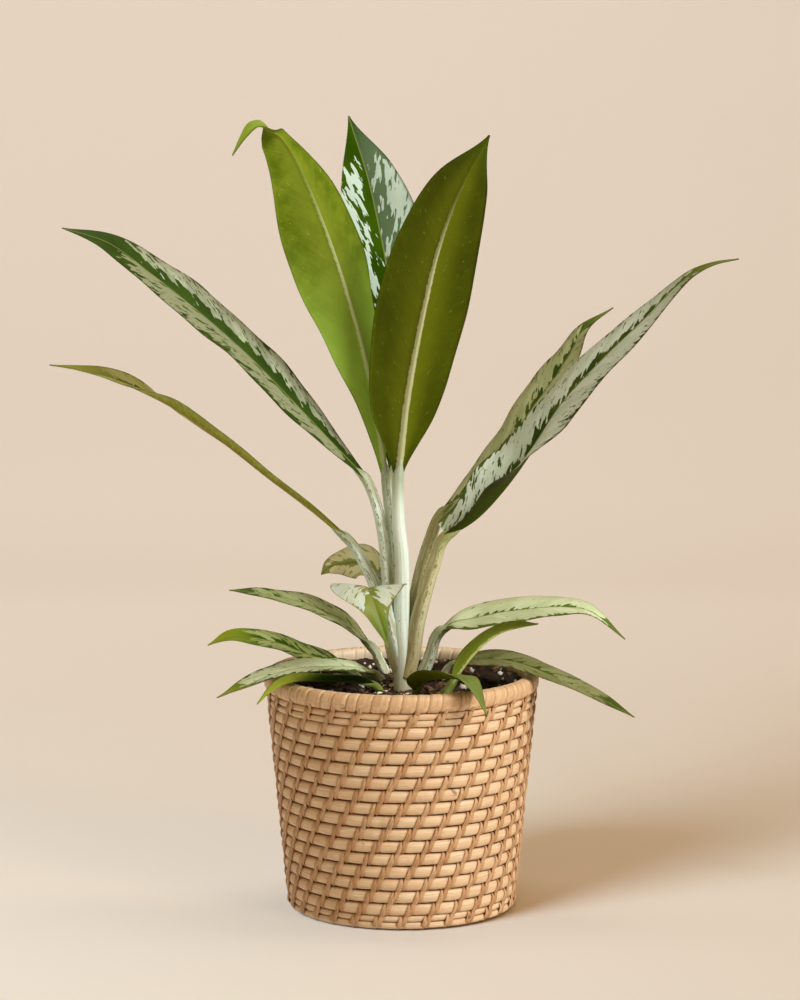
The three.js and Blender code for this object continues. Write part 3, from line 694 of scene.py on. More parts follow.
LEAVES = {
    "leaf_tall_front": dict(
        stalk=((1, -12, 118), (1, -12, 144), (0, -13, 178), (0, -13, 221), (-2, -12, 242)),
        radius=(6.2, 3.4), channel=90,
        line=((-2, -12, 272), (4, -17, 323), (13, -26, 372), (23, -36, 415), (37, -46, 453), (52, -56, 481)),
        halves=(3.4, 21, 27, 29, 25.5, 17.5), face=((0, -0.23, 0.97, 0.12), (1, -0.04, 0.93, 0.36)),
        fold=((0, 0.28), (1, 0.2)), wave=1.2, edge="2e3404", tip="46580c",
        under=("404902", "4a5404", "727a12"), rib="bcbf90", fleck="97a046", flecks=0.72, rib_size=0.62,
        rib_to=0.88,
    ),
    "leaf_tall_left": dict(
        stalk=((0, -9, 150), (-4, -6, 193), (-5, -4, 224), (-7, -2, 245)), radius=(4.6, 3.2), channel=-30,
        line=((-10, 0, 270), (-21, -1, 334), (-35, -3, 386), (-51, -6, 432), (-66, -12, 466),
            (-76, -18, 480), (-86, -26, 485), (-94, -34, 478), (-101, -40, 468)),
        halves=(2.8, 10.5, 22, 29, 24.5, 13), halves_left=(2.8, 10.5, 22, 29, 24, 5.5),
        face=((0, -0.6, 0.8, -0.1), (0.8, -0.6, 0.75, 0.1), (0.875, -0.5, -0.6, 1), (1, -0.6, -0.6, 0.8)),
        fold=((0, 0.35), (0.8, 0.35), (1, 0.1)), wave=1.5, light=("a4ba60", "84925e"),
        dark=("6f8a20", "86a030"), edge="4a5410", tip="90a428", under=("54670a", "72841c", "808f2a"),
        # The lower underside is painted paler: painted light where the front leaf's shadow falls.
        under_low_light="a4cc50", rib="c2cc94", fleck="b6c46e", rib_to=0.8,
    ),
    "leaf_tall_back": dict(
        stalk=((1, -8, 150), (0, -2, 192), (-1, 2, 223), (-3, 6, 247)), radius=(4.6, 3.2), channel=-90,
        line=((-5, 9, 271), (-7, 25, 356), (-9, 35, 393), (-14, 42, 419), (-21, 50, 449), (-30, 58, 477),
            (-33, 62, 486)), halves=(3, 15, 23, 27.5, 26, 17), face=((0, 0.26, -1, 0.3), (1, 0.1, -1, 0.4)),
        fold=((0, 0.35), (1, 0.25)), wave=1.6, light=("c3d8ca", "abc2b2"), dark=("2b4404", "385408"),
        # On the right half the dark band is painted grey-green: a painted reflection.
        dark_right_sheen="647c5c", tip="2c5008",
        left=((0, 0.3), (0.22, 0.44), (0.4, 0.54), (0.8, 0.57), (1, 0.52)),
        right=((0, 0.38), (0.25, 0.45), (0.5, 0.51), (0.8, 0.56), (1, 0.54)), slope=2, fine=0.12,
        blots=(8, 4.6), greyed=0.35, browned=0, dashes=0.74, tip_from=(0.82, 1), rough=0.6, shine=0,
    ),
    "leaf_left_high": dict(
        stalk=((0, -11, 146), (-4, -10, 165), (-8, -8, 200), (-11, -7, 230), (-15, -6, 250)),
        radius=(4.6, 3), channel=-55,
        line=((-23, -5, 270), (-39, -6, 287), (-67, -6, 317), (-94, -6, 345), (-122, -6, 370),
            (-153, -6, 395), (-178, -6, 413), (-206, -6, 422)), halves=(3.2, 16, 22, 22, 21, 15),
        face=((0, 0.69, -0.35, 0.62), (1, 0.28, -0.38, 0.88)), fold=((0, 0.05), (0.5, 0.12), (1, 0.05)),
        wave=0.9, light=("a4af92", "868c74"), light_left="8a906e", dark=("263c06", "334c0c"),
        margin="7c6f54", edge="42301a", tip="3a5414", left=((0, 0.5), (0.2, 0.6), (0.7, 0.57), (1, 0.45)),
        right=((0, 0.28), (0.22, 0.38), (0.4, 0.5), (0.55, 0.6), (0.9, 0.6), (1, 0.46)), fine=0.3,
        blots=(8, 6), browned=0.5, dashes=0.61, tip_from=(0.76, 0.95), shine=0.12,
    ),
    "leaf_left_low": dict(
        stalk=((0, -10, 146), (-5, -8, 160), (-10, -5, 182), (-18, 0, 204), (-26, 3, 219)), radius=(4.6, 3),
        channel=-50,
        line=((-35, 6, 231), (-53, 8, 246), (-81, 12, 267), (-113, 18, 291), (-144, 24, 311),
            (-181, 28, 327), (-202, 30, 332), (-218, 32, 334)), halves=(2.5, 9, 13, 14, 12, 8),
        halves_left=(2.5, 5, 7.5, 9, 10, 9),
        face=((0, 0.6, 0.42, 0.7), (0.6, 0.5, 0.4, 0.77), (0.8, 0.33, -0.12, 0.94), (1, 0.11, -0.13, 0.98)),
        fold=((0, 0.14, 0.14), (0.6, 0.14, 0.14), (0.8, 0.1, 0.5), (1, 0.1, 0.3)), wave=0.5,
        light=("dce294", "bec662"), dark=("6a7a20", "98a640"), margin="8f8558", edge="5c5418", tip="bac650",
        under=("7c8426", "9aa43e", "908c2a"), rib="968c42", fleck="ccd084", browned=0.1, tint_from=(0.7, 1),
        flecks=0.6,
    ),
    "leaf_right_near": dict(
        stalk=((3, -13, 146), (7, -14, 163), (10, -15, 181), (16, -15, 204), (20, -14, 216)),
        radius=(5.4, 3.6), channel=-128,
        line=((27, -12, 234), (45, -14, 246), (63, -16, 266), (79, -18, 289), (97, -20, 317),
            (120, -24, 343), (147, -28, 370), (164, -31, 388), (175, -33, 397), (188, -35, 403),
            (202, -38, 406)), halves=(3, 17, 22, 21, 16, 8), halves_left=(10, 22, 20, 18.5, 13, 7),
        face=((0, -0.56, -0.21, 0.8), (0.15, -0.74, -0.19, 0.64), (0.27, -0.8, -0.31, 0.52),
            (0.42, -0.75, -0.43, 0.5), (1, -0.44, -0.36, 0.82)),
        fold=((0, 1.25, 0.85), (0.14, 1.1, 0.85), (0.28, 0.35, 0.42), (0.42, 0.05, 0.05), (1, 0.05, 0.05)),
        wave=0.9, light=("dceadc", "c4d6c2"), dark=("33450e", "4a5c18"), edge="43321c", tip="6a7824",
        under=("262f02", "333f06", "3c4a0a"), rib="3c480a",
        left=((0, 0.42), (0.15, 0.48), (0.35, 0.61), (0.6, 0.66), (0.85, 0.62), (1, 0.48)),
        right=((0, 0.52), (0.1, 0.62), (0.5, 0.7), (0.8, 0.62), (1, 0.46)), fine=0.6, blots=(7, 10),
        foot=0.1, foot_to=0.4, tint_from=(0.68, 1),
    ),
    "leaf_right_far": dict(
        stalk=((2, -9, 146), (5, -7, 163), (9, -2, 196), (13, 2, 214), (18, 5, 230)), radius=(5, 3.4),
        channel=-110,
        line=((25, 7, 246), (46, 12, 266), (66, 16, 289), (79, 20, 307), (91, 24, 323), (102, 28, 339),
            (112, 32, 356), (131, 38, 369)), halves=(10, 16, 18, 21, 18, 9),
        halves_left=(3, 12, 18, 21, 18, 9), face=((0, -0.62, -0.3, 0.74), (1, -0.48, -0.3, 0.83)), wave=0.9,
        light=("c6d4a4", "a9b882"), dark=("384f0e", "56701e"), margin="94835e", edge="4c3a22", tip="77862e",
        rib="7f8a3c", left=((0, 0.44), (0.15, 0.51), (0.35, 0.62), (0.6, 0.64), (0.85, 0.6), (1, 0.48)),
        right=((0, 0.44), (0.1, 0.54), (0.5, 0.66), (0.8, 0.6), (1, 0.48)), browned=0.45,
    ),
    "leaf_drooping": dict(
        stalk=((-1, -13, 150), (-3, -14, 165), (-8, -16, 186)), radius=(4, 2.6),
        line=((-11, -22, 197), (-17, -32, 204), (-20, -44, 207), (-17, -58, 201), (-8, -68, 175)),
        halves=(2.4, 12, 23, 20, 9, 4), face=((0, 0, 0.6, 1), (0.5, 0, -0.3, 1), (1, 0, -1, 0.2)),
        fold=((0, 0.1), (1, 0.1)), wave=0.9, light=("cad8cc", "c2cab0"), dark=("7a8a30", "8a8048"),
        edge="847a40", tip="4a6a08", under=("aab47a", "b7c08e", "b0ba84"),
        left=((0, 0.42), (0.25, 0.5), (0.45, 0.6), (0.7, 0.7), (1, 0.6)),
        right=((0, 0.42), (0.25, 0.5), (0.45, 0.6), (0.7, 0.7), (1, 0.6)), tip_from=(0.5, 0.78),
        tint_from=(0.6, 0.95),
    ),
    "leaf_small_behind": dict(
        stalk=((-2, -8, 150), (-4, -6, 165), (-8, 0, 192)), radius=(4, 2.4),
        line=((-13, 8, 205), (-22, 14, 212), (-35, 18, 212), (-45, 20, 209), (-50, 22, 204)),
        halves=(2, 8, 12, 11, 8, 5), face=((0, 0, -1, 0.6), (1, -0.4, -0.8, 0.4)), fold=((0, 0.2), (1, 0.2)),
        wave=0.9, light=("fafad0", "e6e8b8"), dark=("a4b064", "8c9c46"), edge="645a24", tip="7c8c3c",
        under=("c4ca92", "b4ba80", "bcc288"),
    ),
    "side_leaf_left_1": dict(
        stalk=((-5, 27, 122), (-10, 28, 140), (-15, 28, 151)), radius=(3.6, 3),
        line=((-19, 28, 158), (-35, 26, 174), (-47, 25, 180), (-60, 24, 186), (-76, 22, 190), (-89, 20, 193),
            (-107, 18, 195)), halves=(2.4, 11, 14, 14, 12, 8),
        face=((0, 0.71, -0.17, 0.69), (0.5, 0.4, -0.17, 0.9), (1, 0.12, -0.14, 0.98)),
        light=("a9b584", "8a9658"), dark=("2c400a", "485e1c"), edge="44401c", tip="5c7220",
        left=((0, 0.42), (0.12, 0.58), (0.6, 0.64), (1, 0.48)),
        right=((0, 0.44), (0.08, 0.56), (0.5, 0.62), (1, 0.5)), browned=0.1,
    ),
    "side_leaf_left_2": dict(
        stalk=((-20, 5, 124), (-25, 7, 139)), radius=(3.2, 2.6),
        line=((-33, 8, 146), (-43, 9, 151), (-63, 10, 158), (-75, 10, 163), (-91, 8, 167), (-106, 6, 168),
            (-120, 3, 163)), halves=(2.4, 12, 14, 14, 13, 9),
        face=((0, 0.42, -0.19, 0.89), (1, -0.29, -0.2, 0.94)), light=("aebc78", "8c9c4e"),
        dark=("3a5608", "587a18"), edge="5c6a18", tip="a0ae1c",
        left=((0, 0.4), (0.2, 0.54), (0.6, 0.58), (1, 0.46)),
        right=((0, 0.44), (0.3, 0.5), (0.6, 0.52), (1, 0.46)), tip_from=(0.6, 0.95), tint_from=(0.6, 0.95),
    ),
    "side_leaf_left_3": dict(
        stalk=((-8, 10, 124), (-12, 6, 138)), radius=(3.2, 2.6),
        line=((-17, 1, 146), (-27, -8, 151), (-44, -18, 154), (-62, -28, 155), (-80, -36, 152),
            (-95, -44, 147), (-112, -52, 141)), halves=(2.4, 11, 13, 13, 12, 9),
        face=((0, 0.47, -0.03, 0.88), (1, -0.29, -0.09, 0.95)), fold=((0, 0.1), (1, 0.1)),
        light=("d0dcb6", "b6c69a"), dark=("304c12", "3f5c1a"), edge="3e5816", tip="9aa62a",
        left=((0, 0.56), (0.5, 0.58), (0.8, 0.5), (1, 0.36)),
        right=((0, 0.6), (0.5, 0.6), (0.8, 0.55), (1, 0.4)), tint_from=(0.72, 0.98),
    ),
    "side_leaf_left_4": dict(
        PLAIN, stalk=((-9, -8, 122), (-13, -14, 136)), radius=(3, 2.4), channel=90,
        line=((-18, -19, 143), (-30, -30, 147), (-46, -42, 150), (-62, -52, 152), (-72, -60, 151),
            (-80, -66, 147), (-87, -72, 141)), halves=(2.4, 9, 12, 12, 10, 7),
        face=((0, 0.12, 0.22, 0.97), (0.5, 0, 0.22, 1), (1, -0.77, 0.39, 0.5)),
        fold=((0, 0.35), (0.5, 0.35), (1, 0.2)), dark=("24390a", "334c14"), edge="485e1c", tip="a8b640",
        # Its underside is green, painted darker and with a rib as dark as the blade: painted shade.
        under=("2a4a0c", "385a14", "32520e"), rib="3a4814", tip_from=(0.45, 0.75), rib_size=0.3,
    ),
    "side_leaf_right_1": dict(
        stalk=((8, 21, 120), (13, 22, 140), (18, 22, 153)), radius=(4.6, 3.4), channel=-120,
        line=((24, 21, 169), (33, 18, 175), (46, 16, 178), (61, 13, 182), (79, 9, 185), (98, 5, 187),
            (116, 1, 185), (138, -4, 168)), halves=(2.4, 15, 18, 17, 13.5, 6),
        halves_left=(2.4, 14, 15, 14.5, 12.5, 6),
        face=((0, -0.59, -0.27, 0.76), (0.6, -0.09, -0.26, 0.96), (1, 0.56, -0.23, 0.79)),
        light=("d2deb4", "bccb9a"), dark=("435a16", "587020"), edge="50561f", tip="5e6a18",
        left=((0, 0.46), (0.1, 0.55), (0.3, 0.66), (0.8, 0.68), (1, 0.58)),
        right=((0, 0.52), (0.12, 0.66), (0.6, 0.68), (0.86, 0.55), (1, 0.34)), dashes=0.72,
    ),
    "side_leaf_right_2": dict(
        PLAIN, stalk=((19, -37, 120), (25, -36, 136)), radius=(3.4, 2.8), channel=60,
        line=((30, -34, 146), (37, -30, 156), (44, -26, 164), (52, -22, 171), (62, -18, 176), (73, -14, 178),
            (84, -11, 179)), halves=(2.6, 9, 12, 12, 10, 7), face=((0, -0.7, 0.4, 0.6), (1, -0.3, 0.4, 0.9)),
        fold=((0, 0.4), (1, 0.2)), dark=("56681a", "667828"), edge="6c762a", tip="5c7020",
        under=("64701e", "78842e", "78842e"), rib="b2ba74", rib_size=0.42,
    ),
    "side_leaf_right_3": dict(
        stalk=((20, 13, 122), (25, 12, 139)), radius=(3.2, 2.6), channel=-120,
        line=((32, 10, 150), (41, 4, 154), (59, -6, 156), (73, -14, 155), (84, -20, 152), (100, -26, 146),
            (121, -32, 137), (142, -38, 126)), halves=(2.4, 11, 13, 13, 12, 9),
        face=((0, -0.47, -0.08, 0.88), (0.5, 0, -0.1, 1), (1, 0.41, -0.13, 0.89)),
        fold=((0, 0.07), (1, 0.07)), light=("888a5c", "72743e"), dark=("34460c", "425412"), margin="6c6838",
        edge="4f5418", tip="5a6214", left=((0, 0.42), (0.12, 0.56), (0.7, 0.62), (1, 0.52)),
        right=((0, 0.46), (0.1, 0.6), (0.7, 0.64), (1, 0.54)),
    ),
    "side_leaf_front": dict(
        PLAIN, stalk=((7, -29, 120), (8, -35, 134)), radius=(3, 2.4), channel=90,
        line=((9, -39, 143), (14, -48, 151), (26, -58, 155), (34, -66, 156), (40, -76, 154), (46, -86, 147),
            (51, -92, 138)), halves=(2.4, 13, 15, 12, 9, 5),
        face=((0, -0.6, 0.7, 0.6), (0.4, -0.2, 0.5, 1), (1, 0.7, -0.3, 0.7)), fold=((0, 0.2), (1, 0.2)),
        dark=("647432", "748440"), edge="485412", tip="7e8832", under=("66720e", "748018", "707c14"),
        rib="6e7a28", fleck="525c1c", tip_from=(0.4, 0.8), rib_size=0.3,
    ),
}

BLADE_ROWS = 110
SIDE_BLADE_ROWS = 80
BLADE_HALF_COLUMNS = 15
TIP_HALF = 0.5
MARGIN_WAVE = 0.8
WAVE_PERIOD = 88
VEIN_SLOPE = 1.25
VEIN_STEP = 11.5
VEIN_RELIEF = 0.10
ARCH = 0.035
MIDRIB_GROOVE = 0.5
MARGIN_THICKNESS = 0.25
STALK_INSIDE = 10
CHANNEL_DEPTH = 0.17
CHANNEL_WIDTH = 0.42
EDGE_HEIGHT = 0.06
EDGE_WIDTH = 0.26
EDGE_ANGLE = 0.85
GREEN_STALKS = ("side_leaf_left_4", "side_leaf_right_2", "side_leaf_front")


def blade_faces(rows, columns):
    """Faces of the upper side, the underside and the strip between them, and their paints."""
    count = rows * columns
    top = grid_faces(rows, columns)
    low = [face[::-1] for face in grid_faces(rows, columns, start=count)]
    edges = []
    for row in range(rows - 1):
        left, right = row * columns, row * columns + columns - 1
        edges.append([left, left + columns, left + columns + count, left + count])
        edges.append([right, right + count, right + columns + count, right + columns])
    for i in range(columns - 1):
        end = (rows - 1) * columns + i
        edges.append([i, i + count, i + 1 + count, i + 1])
        edges.append([end, end + 1, end + 1 + count, end + count])
    faces = [face[::-1] for face in top + low] + edges
    return faces, [0] * len(top) + [1] * (len(low) + len(edges))


def blade(shape, leaf, rows):
    """A thin folded blade with a half-round rib under its midrib, soft waves along its margins,
    and veins that lift it a little. Paint 0 is its upper side and 1 its underside."""
    t = np.linspace(0, 1, rows + 1)
    places, ways, run = curve_line(leaf["line"], rows)
    up = blend(leaf["face"], t)
    up = unit(up - ways * np.sum(up * ways, axis=1, keepdims=True))
    side = np.cross(ways, up)
    u = np.linspace(-1, 1, 2 * BLADE_HALF_COLUMNS + 1)
    s = signed_power(u, 1.45)[None, :]
    right, left = (curve_value((*halves, TIP_HALF), t)[:, None]
                   for halves in (leaf["halves"], leaf.get("halves_left", leaf["halves"])))
    half = np.where(s < 0, left, right)
    fold = blend(leaf["fold"], t)
    fold = np.where(s < 0, fold[:, :1], fold[:, -1:])
    across = s * half
    off = np.abs(across)
    along = run[:, None]
    t = t[:, None]
    seed = leaf["seed"]
    envelope = np.sin(math.pi * t) ** 0.7
    waves = TURN * along / (WAVE_PERIOD + 20 * math.sin(seed))
    ripple = np.sin(waves + seed + np.where(s > 0, 2.1, 0.0))
    ripple += 0.5 * np.sin(waves / 0.47 + 2 * seed + np.where(s > 0, 0.7, 1.9))
    middle = np.sin(math.pi * np.abs(s))
    veins = np.sin(TURN * (along - VEIN_SLOPE * off) / VEIN_STEP + seed)
    spine = np.sqrt(s ** 2 + 0.006) - math.sqrt(0.006)
    rise = (spine * half * np.sin(fold)
            + MARGIN_WAVE * leaf["wave"] * envelope * ripple * np.abs(s) ** 1.8
            + VEIN_RELIEF * veins * envelope * middle ** 0.8
            + ARCH * half * middle * envelope
            - MIDRIB_GROOVE * bump(off, 1.3) * envelope)
    upper = (places[:, None] + side[:, None] * (across * np.cos(fold))[..., None]
             + up[:, None] * rise[..., None])
    rib = 0.2 + leaf["rib_size"] * leaf["radius"][1] * (1 - t) ** 0.7
    rib = np.minimum(rib, 0.97 * np.minimum(left, right))
    keel = 0.7 * np.sqrt(np.clip(rib ** 2 - off ** 2, 0, None))
    body = (BLADE_THICKNESS - 0.35) * (1 - np.abs(s) ** 3) * (1 - 0.6 * t)
    under = upper - up[:, None] * (MARGIN_THICKNESS + body + keel)[..., None]
    faces, paints = blade_faces(*off.shape)
    mm = triples(off.shape, along, across, half)
    share = triples(off.shape, t, s, rib)
    shape.add([upper, under], faces, paints, leaf_mm=[mm, mm], leaf_share=[share, share])


def stalk_line(leaf):
    """The stalk's points, run on under the blade, where it sinks away below the blade's upper side."""
    base, following = (np.array(p, float) for p in leaf["line"][:2])
    way = unit(following - base)
    up = np.array(leaf["face"][0][1:], float)
    up = unit(up - way * (up @ way))
    radius = leaf["radius"][1]
    before = unit(unit(base - np.array(leaf["stalk"][-1], float)) + 0.35 * way)
    points = [base - before * STALK_END_RUN, base - up * 0.2 * radius]
    for share, drop in ((0.5, 0.42), (1.0, 0.5)):
        points.append(base + way * share * STALK_INSIDE - up * drop * radius)
    return list(leaf["stalk"]) + points


def stalk(shape, leaf, steps, sides, paint):
    """A tapered stalk with a shallow channel between two edges along one side."""
    places, ways, run = curve_line(stalk_line(leaf), steps)
    across = unit(np.cross([0.0, 1.0, 0.0], ways))
    back = np.cross(ways, across)
    run = run[:, None]
    t = np.clip(run / (run[-1] - STALK_INSIDE), 0, 1)
    turn = round_angles(sides)[None, :]
    away = (turn - math.radians(leaf["channel"]) + math.pi) % TURN - math.pi
    first, last = leaf["radius"]
    inside = np.clip((run - run[-1] + STALK_INSIDE) / STALK_INSIDE, 0, 1)
    radius = (first + (last - first) * t) * (1 - 0.85 * inside)
    open_share = smoothstep(t, 0.05, 0.5)
    edges = bump(away - EDGE_ANGLE, EDGE_WIDTH) + bump(away + EDGE_ANGLE, EDGE_WIDTH)
    channel = 1 - CHANNEL_DEPTH * bump(away, CHANNEL_WIDTH) * open_share + EDGE_HEIGHT * edges * open_share
    seed = leaf["seed"]
    bend = np.array([noise.noise(Vector((seed, r * 0.03, 0.0))) for r in run[:, 0]])[:, None]
    size = radius * channel * (1 + 0.05 * bend)
    rings = (places[:, None] + across[:, None] * (size * np.cos(turn))[..., None]
             + back[:, None] * (size * np.sin(turn))[..., None])
    mm = triples(size.shape, run, away * radius, radius)
    shape.tube(rings, paint=paint, leaf_mm=mm, leaf_share=triples(size.shape, t, away, seed))


def leaf_start(name, seed, side_seed, slope=1.3):
    """What both sides of a leaf begin with: a paint, the distances from the midrib and from the
    margin, and streaks along the side veins, which slant to the tip."""
    paint = Paint(name)
    along, across, half = paint.note("leaf_mm")
    off = abs(across)
    vein = along - off * slope
    lot = across.step(-0.1, 0.1) * side_seed + seed

    def streaks(step, length, shift, detail=2.0):
        return paint.streaks(vein * (1 / step), off * (1 / length), lot + shift, detail, 0.55)

    return paint, off, half - off, streaks


def leaf_upper(name, look):
    """Silver fields, a dark feathered band along the midrib, and dark dashes along the veins."""
    paint, off, inset, streaks = leaf_start(name, look["seed"] * 5.3, 9.0, look["slope"])
    across = paint.note("leaf_mm")[1]
    t, s = paint.note("leaf_share")[:2]
    teeth = streaks(3.3, 5.0, 0.0)
    blots = streaks(*look["blots"], 20.0)
    pattern = teeth * look["fine"] + blots * (1 - look["fine"])
    stops = [(0.5 - 0.5 * place, level) for place, level in reversed(look["left"])]
    stops += [(0.5 + 0.5 * place + 1e-3, level) for place, level in look["right"]]
    level = paint.ramp(s * 0.5 + 0.5, stops)
    level = level - t.step(*look.get("tip_from", (0.8, 0.97))) * 0.4
    level = level - t.step(look["foot_to"], 0.0) * look["foot"]
    dashes = streaks(2.5, 3.4, 40.0, 1.0).step(look["dashes"], look["dashes"] + 0.02)
    dashes = dashes * abs(s).step(0.3, 0.6)
    dark_share = (pattern - level).step(-0.008, 0.012).or_more(dashes * 0.85)
    broad = paint.noise(paint.place(), 38.0)
    light, mid = look["light"]
    light = paint.layers(light, (mid, streaks(14.0, 18.0, 60.0).step(0.42, 0.58) * look["greyed"]),
                         (look["margin"], abs(s).step(0.45, 1.0) * look["browned"]))
    if "light_left" in look:
        light = paint.mix(light, look["light_left"], across.step(0.4, -0.4))
    dark = paint.mix(*look["dark"], broad.step(0.35, 0.65))
    # A painted reflection: the dark band turns grey-green on the right half.
    if "dark_right_sheen" in look:
        dark = paint.mix(dark, look["dark_right_sheen"], across.step(-0.6, 0.6) * 0.9)
    fine = streaks(0.9, 30.0, 80.0)
    base = paint.layers(light, (dark, dark_share), (look["tip"], t.step(*look["tint_from"]) * 0.8),
                        (look["tip"], t.step(0.1, 0.0) * 0.5))
    base = paint.shade(base, fine, 0.07)
    base = paint.layers(base, (look["midrib"], off.step((1.0 - t) * 0.55 + 0.45, 0.2) * 0.8),
                        (look["edge"], inset.step(0.55, 0.15) * 0.6))
    height = fine * 0.5 + streaks(6.0, 40.0, 90.0) * 0.9
    return paint.done(base, broad * 0.16 + look["rough"], height, 0.30, 0.0006, look["shine"])


def leaf_under(name, look):
    """Plain olive green with a pale rib, faint side veins and pale flecks."""
    paint, off, inset, streaks = leaf_start(name, look["seed"] * 3.1, 5.0)
    t, s, rib = paint.note("leaf_share")
    under, under_two, under_mid = look["under"]
    broad = paint.noise(paint.place(), 24.0, 3.0)
    patches = paint.noise(paint.place(), 85.0, 3.0, 0.6)
    veins = streaks(3.0, 60.0, 0.0, 3.0)
    fine = streaks(0.8, 40.0, 10.0)
    tone = veins * 0.14 + (broad * 0.44 + patches * 0.42)
    base = paint.layers(under, (under_two, tone.step(0.38, 0.62)), (under_mid, abs(s).step(0.7, 0.1) * 0.5))
    # Painted light: the lower underside is made paler where a cast shadow falls on it.
    if "under_low_light" in look:
        base = paint.mix(base, look["under_low_light"], t.step(0.6, 0.15) * 0.8)
    base = paint.shade(base, fine, 0.05)
    flecks = streaks(1.3, 3.2, 30.0, 1.0).step(look["flecks"], look["flecks"] + 0.03)
    feather = (streaks(2.2, 5.0, 50.0) - 0.5) * 1.6
    rib_share = (rib * 1.02 + feather - off).step(-0.25, 0.35)
    fade = t.step(look["rib_to"], look["rib_to"] - 0.35) * 0.92
    base = paint.layers(base, (look["fleck"], flecks * 0.55),
                        (look["tip"], t.step(*look.get("tip_from", (0.82, 1.0))) * 0.7),
                        (look["rib"], rib_share * fade), (look["edge"], inset.step(0.5, 0.15) * 0.5))
    height = veins + fine * 0.4
    return paint.done(base, broad * 0.14 + (look["rough"] + 0.06), height, 0.35, 0.0006, 0.06)


def stalk_paint(name, pale, warm, green, speck, low):
    """Smooth pale stalk, greener towards the blade, its channel warm and its two edges speckled."""
    paint = Paint(name)
    along = paint.note("leaf_mm")[0]
    t, away, seed = paint.note("leaf_share")
    lot = seed * 3.7
    broad = paint.noise(paint.place(), 60.0, 3.0)
    long_streaks = paint.streaks(along * 0.02, away * 3.0, lot)
    tan = paint.streaks(along * 0.07, away * 2.0, lot, 3.0)
    dots = paint.streaks(along * 0.33, away * 4.5, lot + 8.0, 2.0, 0.6)
    stray = paint.streaks(along * 0.5, away * 3.4, lot + 3.0, 1.0)
    fine = paint.streaks(along * 0.08, away * 14.0, lot)
    channel = abs(away).step(0.75, 0.25)
    edge = abs(abs(away) - EDGE_ANGLE).step(0.42, 0.12)
    dot_share = (dots + t.step(0.0, 1.0) * 0.10).step(0.58, 0.64)
    base = paint.layers(pale, (warm, long_streaks.step(0.38, 0.68) * 0.6), (low, t.step(0.45, 0.0) * 0.75),
                        (green, t.step(0.82, 1.0) * 0.55), (speck, channel * tan.step(0.3, 0.6) * 0.7),
                        (green, edge * dot_share * 0.9), ("5a4a26", stray.step(0.73, 0.77) * 0.75))
    base = paint.shade(base, broad, 0.06)
    return paint.done(base, broad * 0.14 + 0.34, fine, 0.22, 0.0004, 0.45)


def build_plant():
    pale = stalk_paint("stalk_pale", "e4f8f0", "d2d2b8", "75843a", "9a9158", "ae9a66")
    tan = stalk_paint("stalk_tan", "cac8a4", "b0a06c", "74862a", "8c8246", "a8966a")
    young = stalk_paint("stalk_young", "e8f0dc", "ccd0b0", "62762f", "8c9458", "d8ceb2")
    green = stalk_paint("stalk_green", "7c8c3c", "6c7a2e", "566420", "6c6a2c", "8c8a50")
    leaves = {name: {**LEAF, **leaf, "seed": 1.7 * number + 0.6}
              for number, (name, leaf) in enumerate(LEAVES.items())}
    trunk = Shape()
    for name, leaf in leaves.items():
        if not name.startswith("side"):
            stalk(trunk, leaf, steps=90, sides=28, paint=1 if "right" in name else 0)
    trunk.piece("stalks", [pale, tan], ("shoot_stalks",))
    for name, leaf in leaves.items():
        small = name.startswith("side")
        shape = Shape()
        blade(shape, leaf, SIDE_BLADE_ROWS if small else BLADE_ROWS)
        paints = [leaf_upper(name + "_upper", leaf), leaf_under(name + "_under", leaf)]
        if small:
            stalk(shape, leaf, steps=40, sides=20, paint=2)
            paints.append(green if name in GREEN_STALKS else young)
        shape.piece(name + "_fine", paints, (name,))


# Camera, floor and light, in metres, watts and degrees, with the lens in millimetres

CAMERA_PLACE = (-0.001, -2.430, 0.619)
CAMERA_PITCH = 8.54
CAMERA_LENS = 144
CAMERA_SENSOR = 36
SHEET_HALF_WIDTH = 4.0
SHEET_FRONT = -4.0
BEND_START = 1.2
BEND_RADIUS = 1.6
SKY_COLOUR = (1.0, 0.71, 0.38, 1)
SKY_STRENGTH = 0.335
# Share of the wall's colour on the paper from front to back: painted shade that keeps the floor darker than
# the wall and dips where the pot's shadow falls.
PAINTED_FLOOR_SHADE = (
    (0.17, 0.0), (0.40, 0.40), (0.50, 0.37), (0.61, 0.56), (0.75, 0.94), (0.90, 1.0), (1.0, 0.9),
)
MIDDLE = (0, 0, 0.2)
WALL = (0, 2.7, 1.4)

# Name, place, target, size, power, colour and what it lights. The photograph's floor shadow and
# the shades on its plant come from two sides, so the sheet and the parts have lights of their own.
LIGHTS = (
    ("key_left", (-1.36, -1.56, 1.42), MIDDLE, 1.15, 68, (0.75, 0.9, 1.0), "sheet"),
    ("key_right", (1.95, -1.45, 1.95), MIDDLE, 1.6, 94, (1.0, 0.99, 0.97), "parts"),
    ("fill_left", (-1.9, -1.6, 1.0), MIDDLE, 1.2, 0.8, (1.0, 0.9, 0.8), "parts"),
    ("top_parts", (0.2, 0.5, 2.4), MIDDLE, 1.2, 8, (1.0, 0.94, 0.86), "parts"),
    ("fill_right", (1.6, -1.8, 1.6), MIDDLE, 1.0, 14, (1.0, 0.6, 0.27), "sheet"),
    ("wall_wash", (0.0, 0.3, 2.6), WALL, 1.5, 18.5, (1.0, 0.945, 0.94), "sheet"),
    ("top", (0.2, 0.5, 2.4), MIDDLE, 1.2, 6, (1.0, 0.72, 0.4), "sheet"),
)


def sheet_paint():
    """Pale paper, its floor painted a little darker than its wall from place to place, as painted shade."""
    paint = Paint("backdrop_paper")
    place = paint.place()
    back = paint.value("ShaderNodeSeparateXYZ", {0: place}, 1)
    wall = paint.mix("f5eee9", "f8f2ed", paint.noise(place, 1.3))
    share = paint.ramp((back + 1.2) * (1 / 3), PAINTED_FLOOR_SHADE)
    return paint.done(paint.mix("d5cabd", wall, share), 0.9)


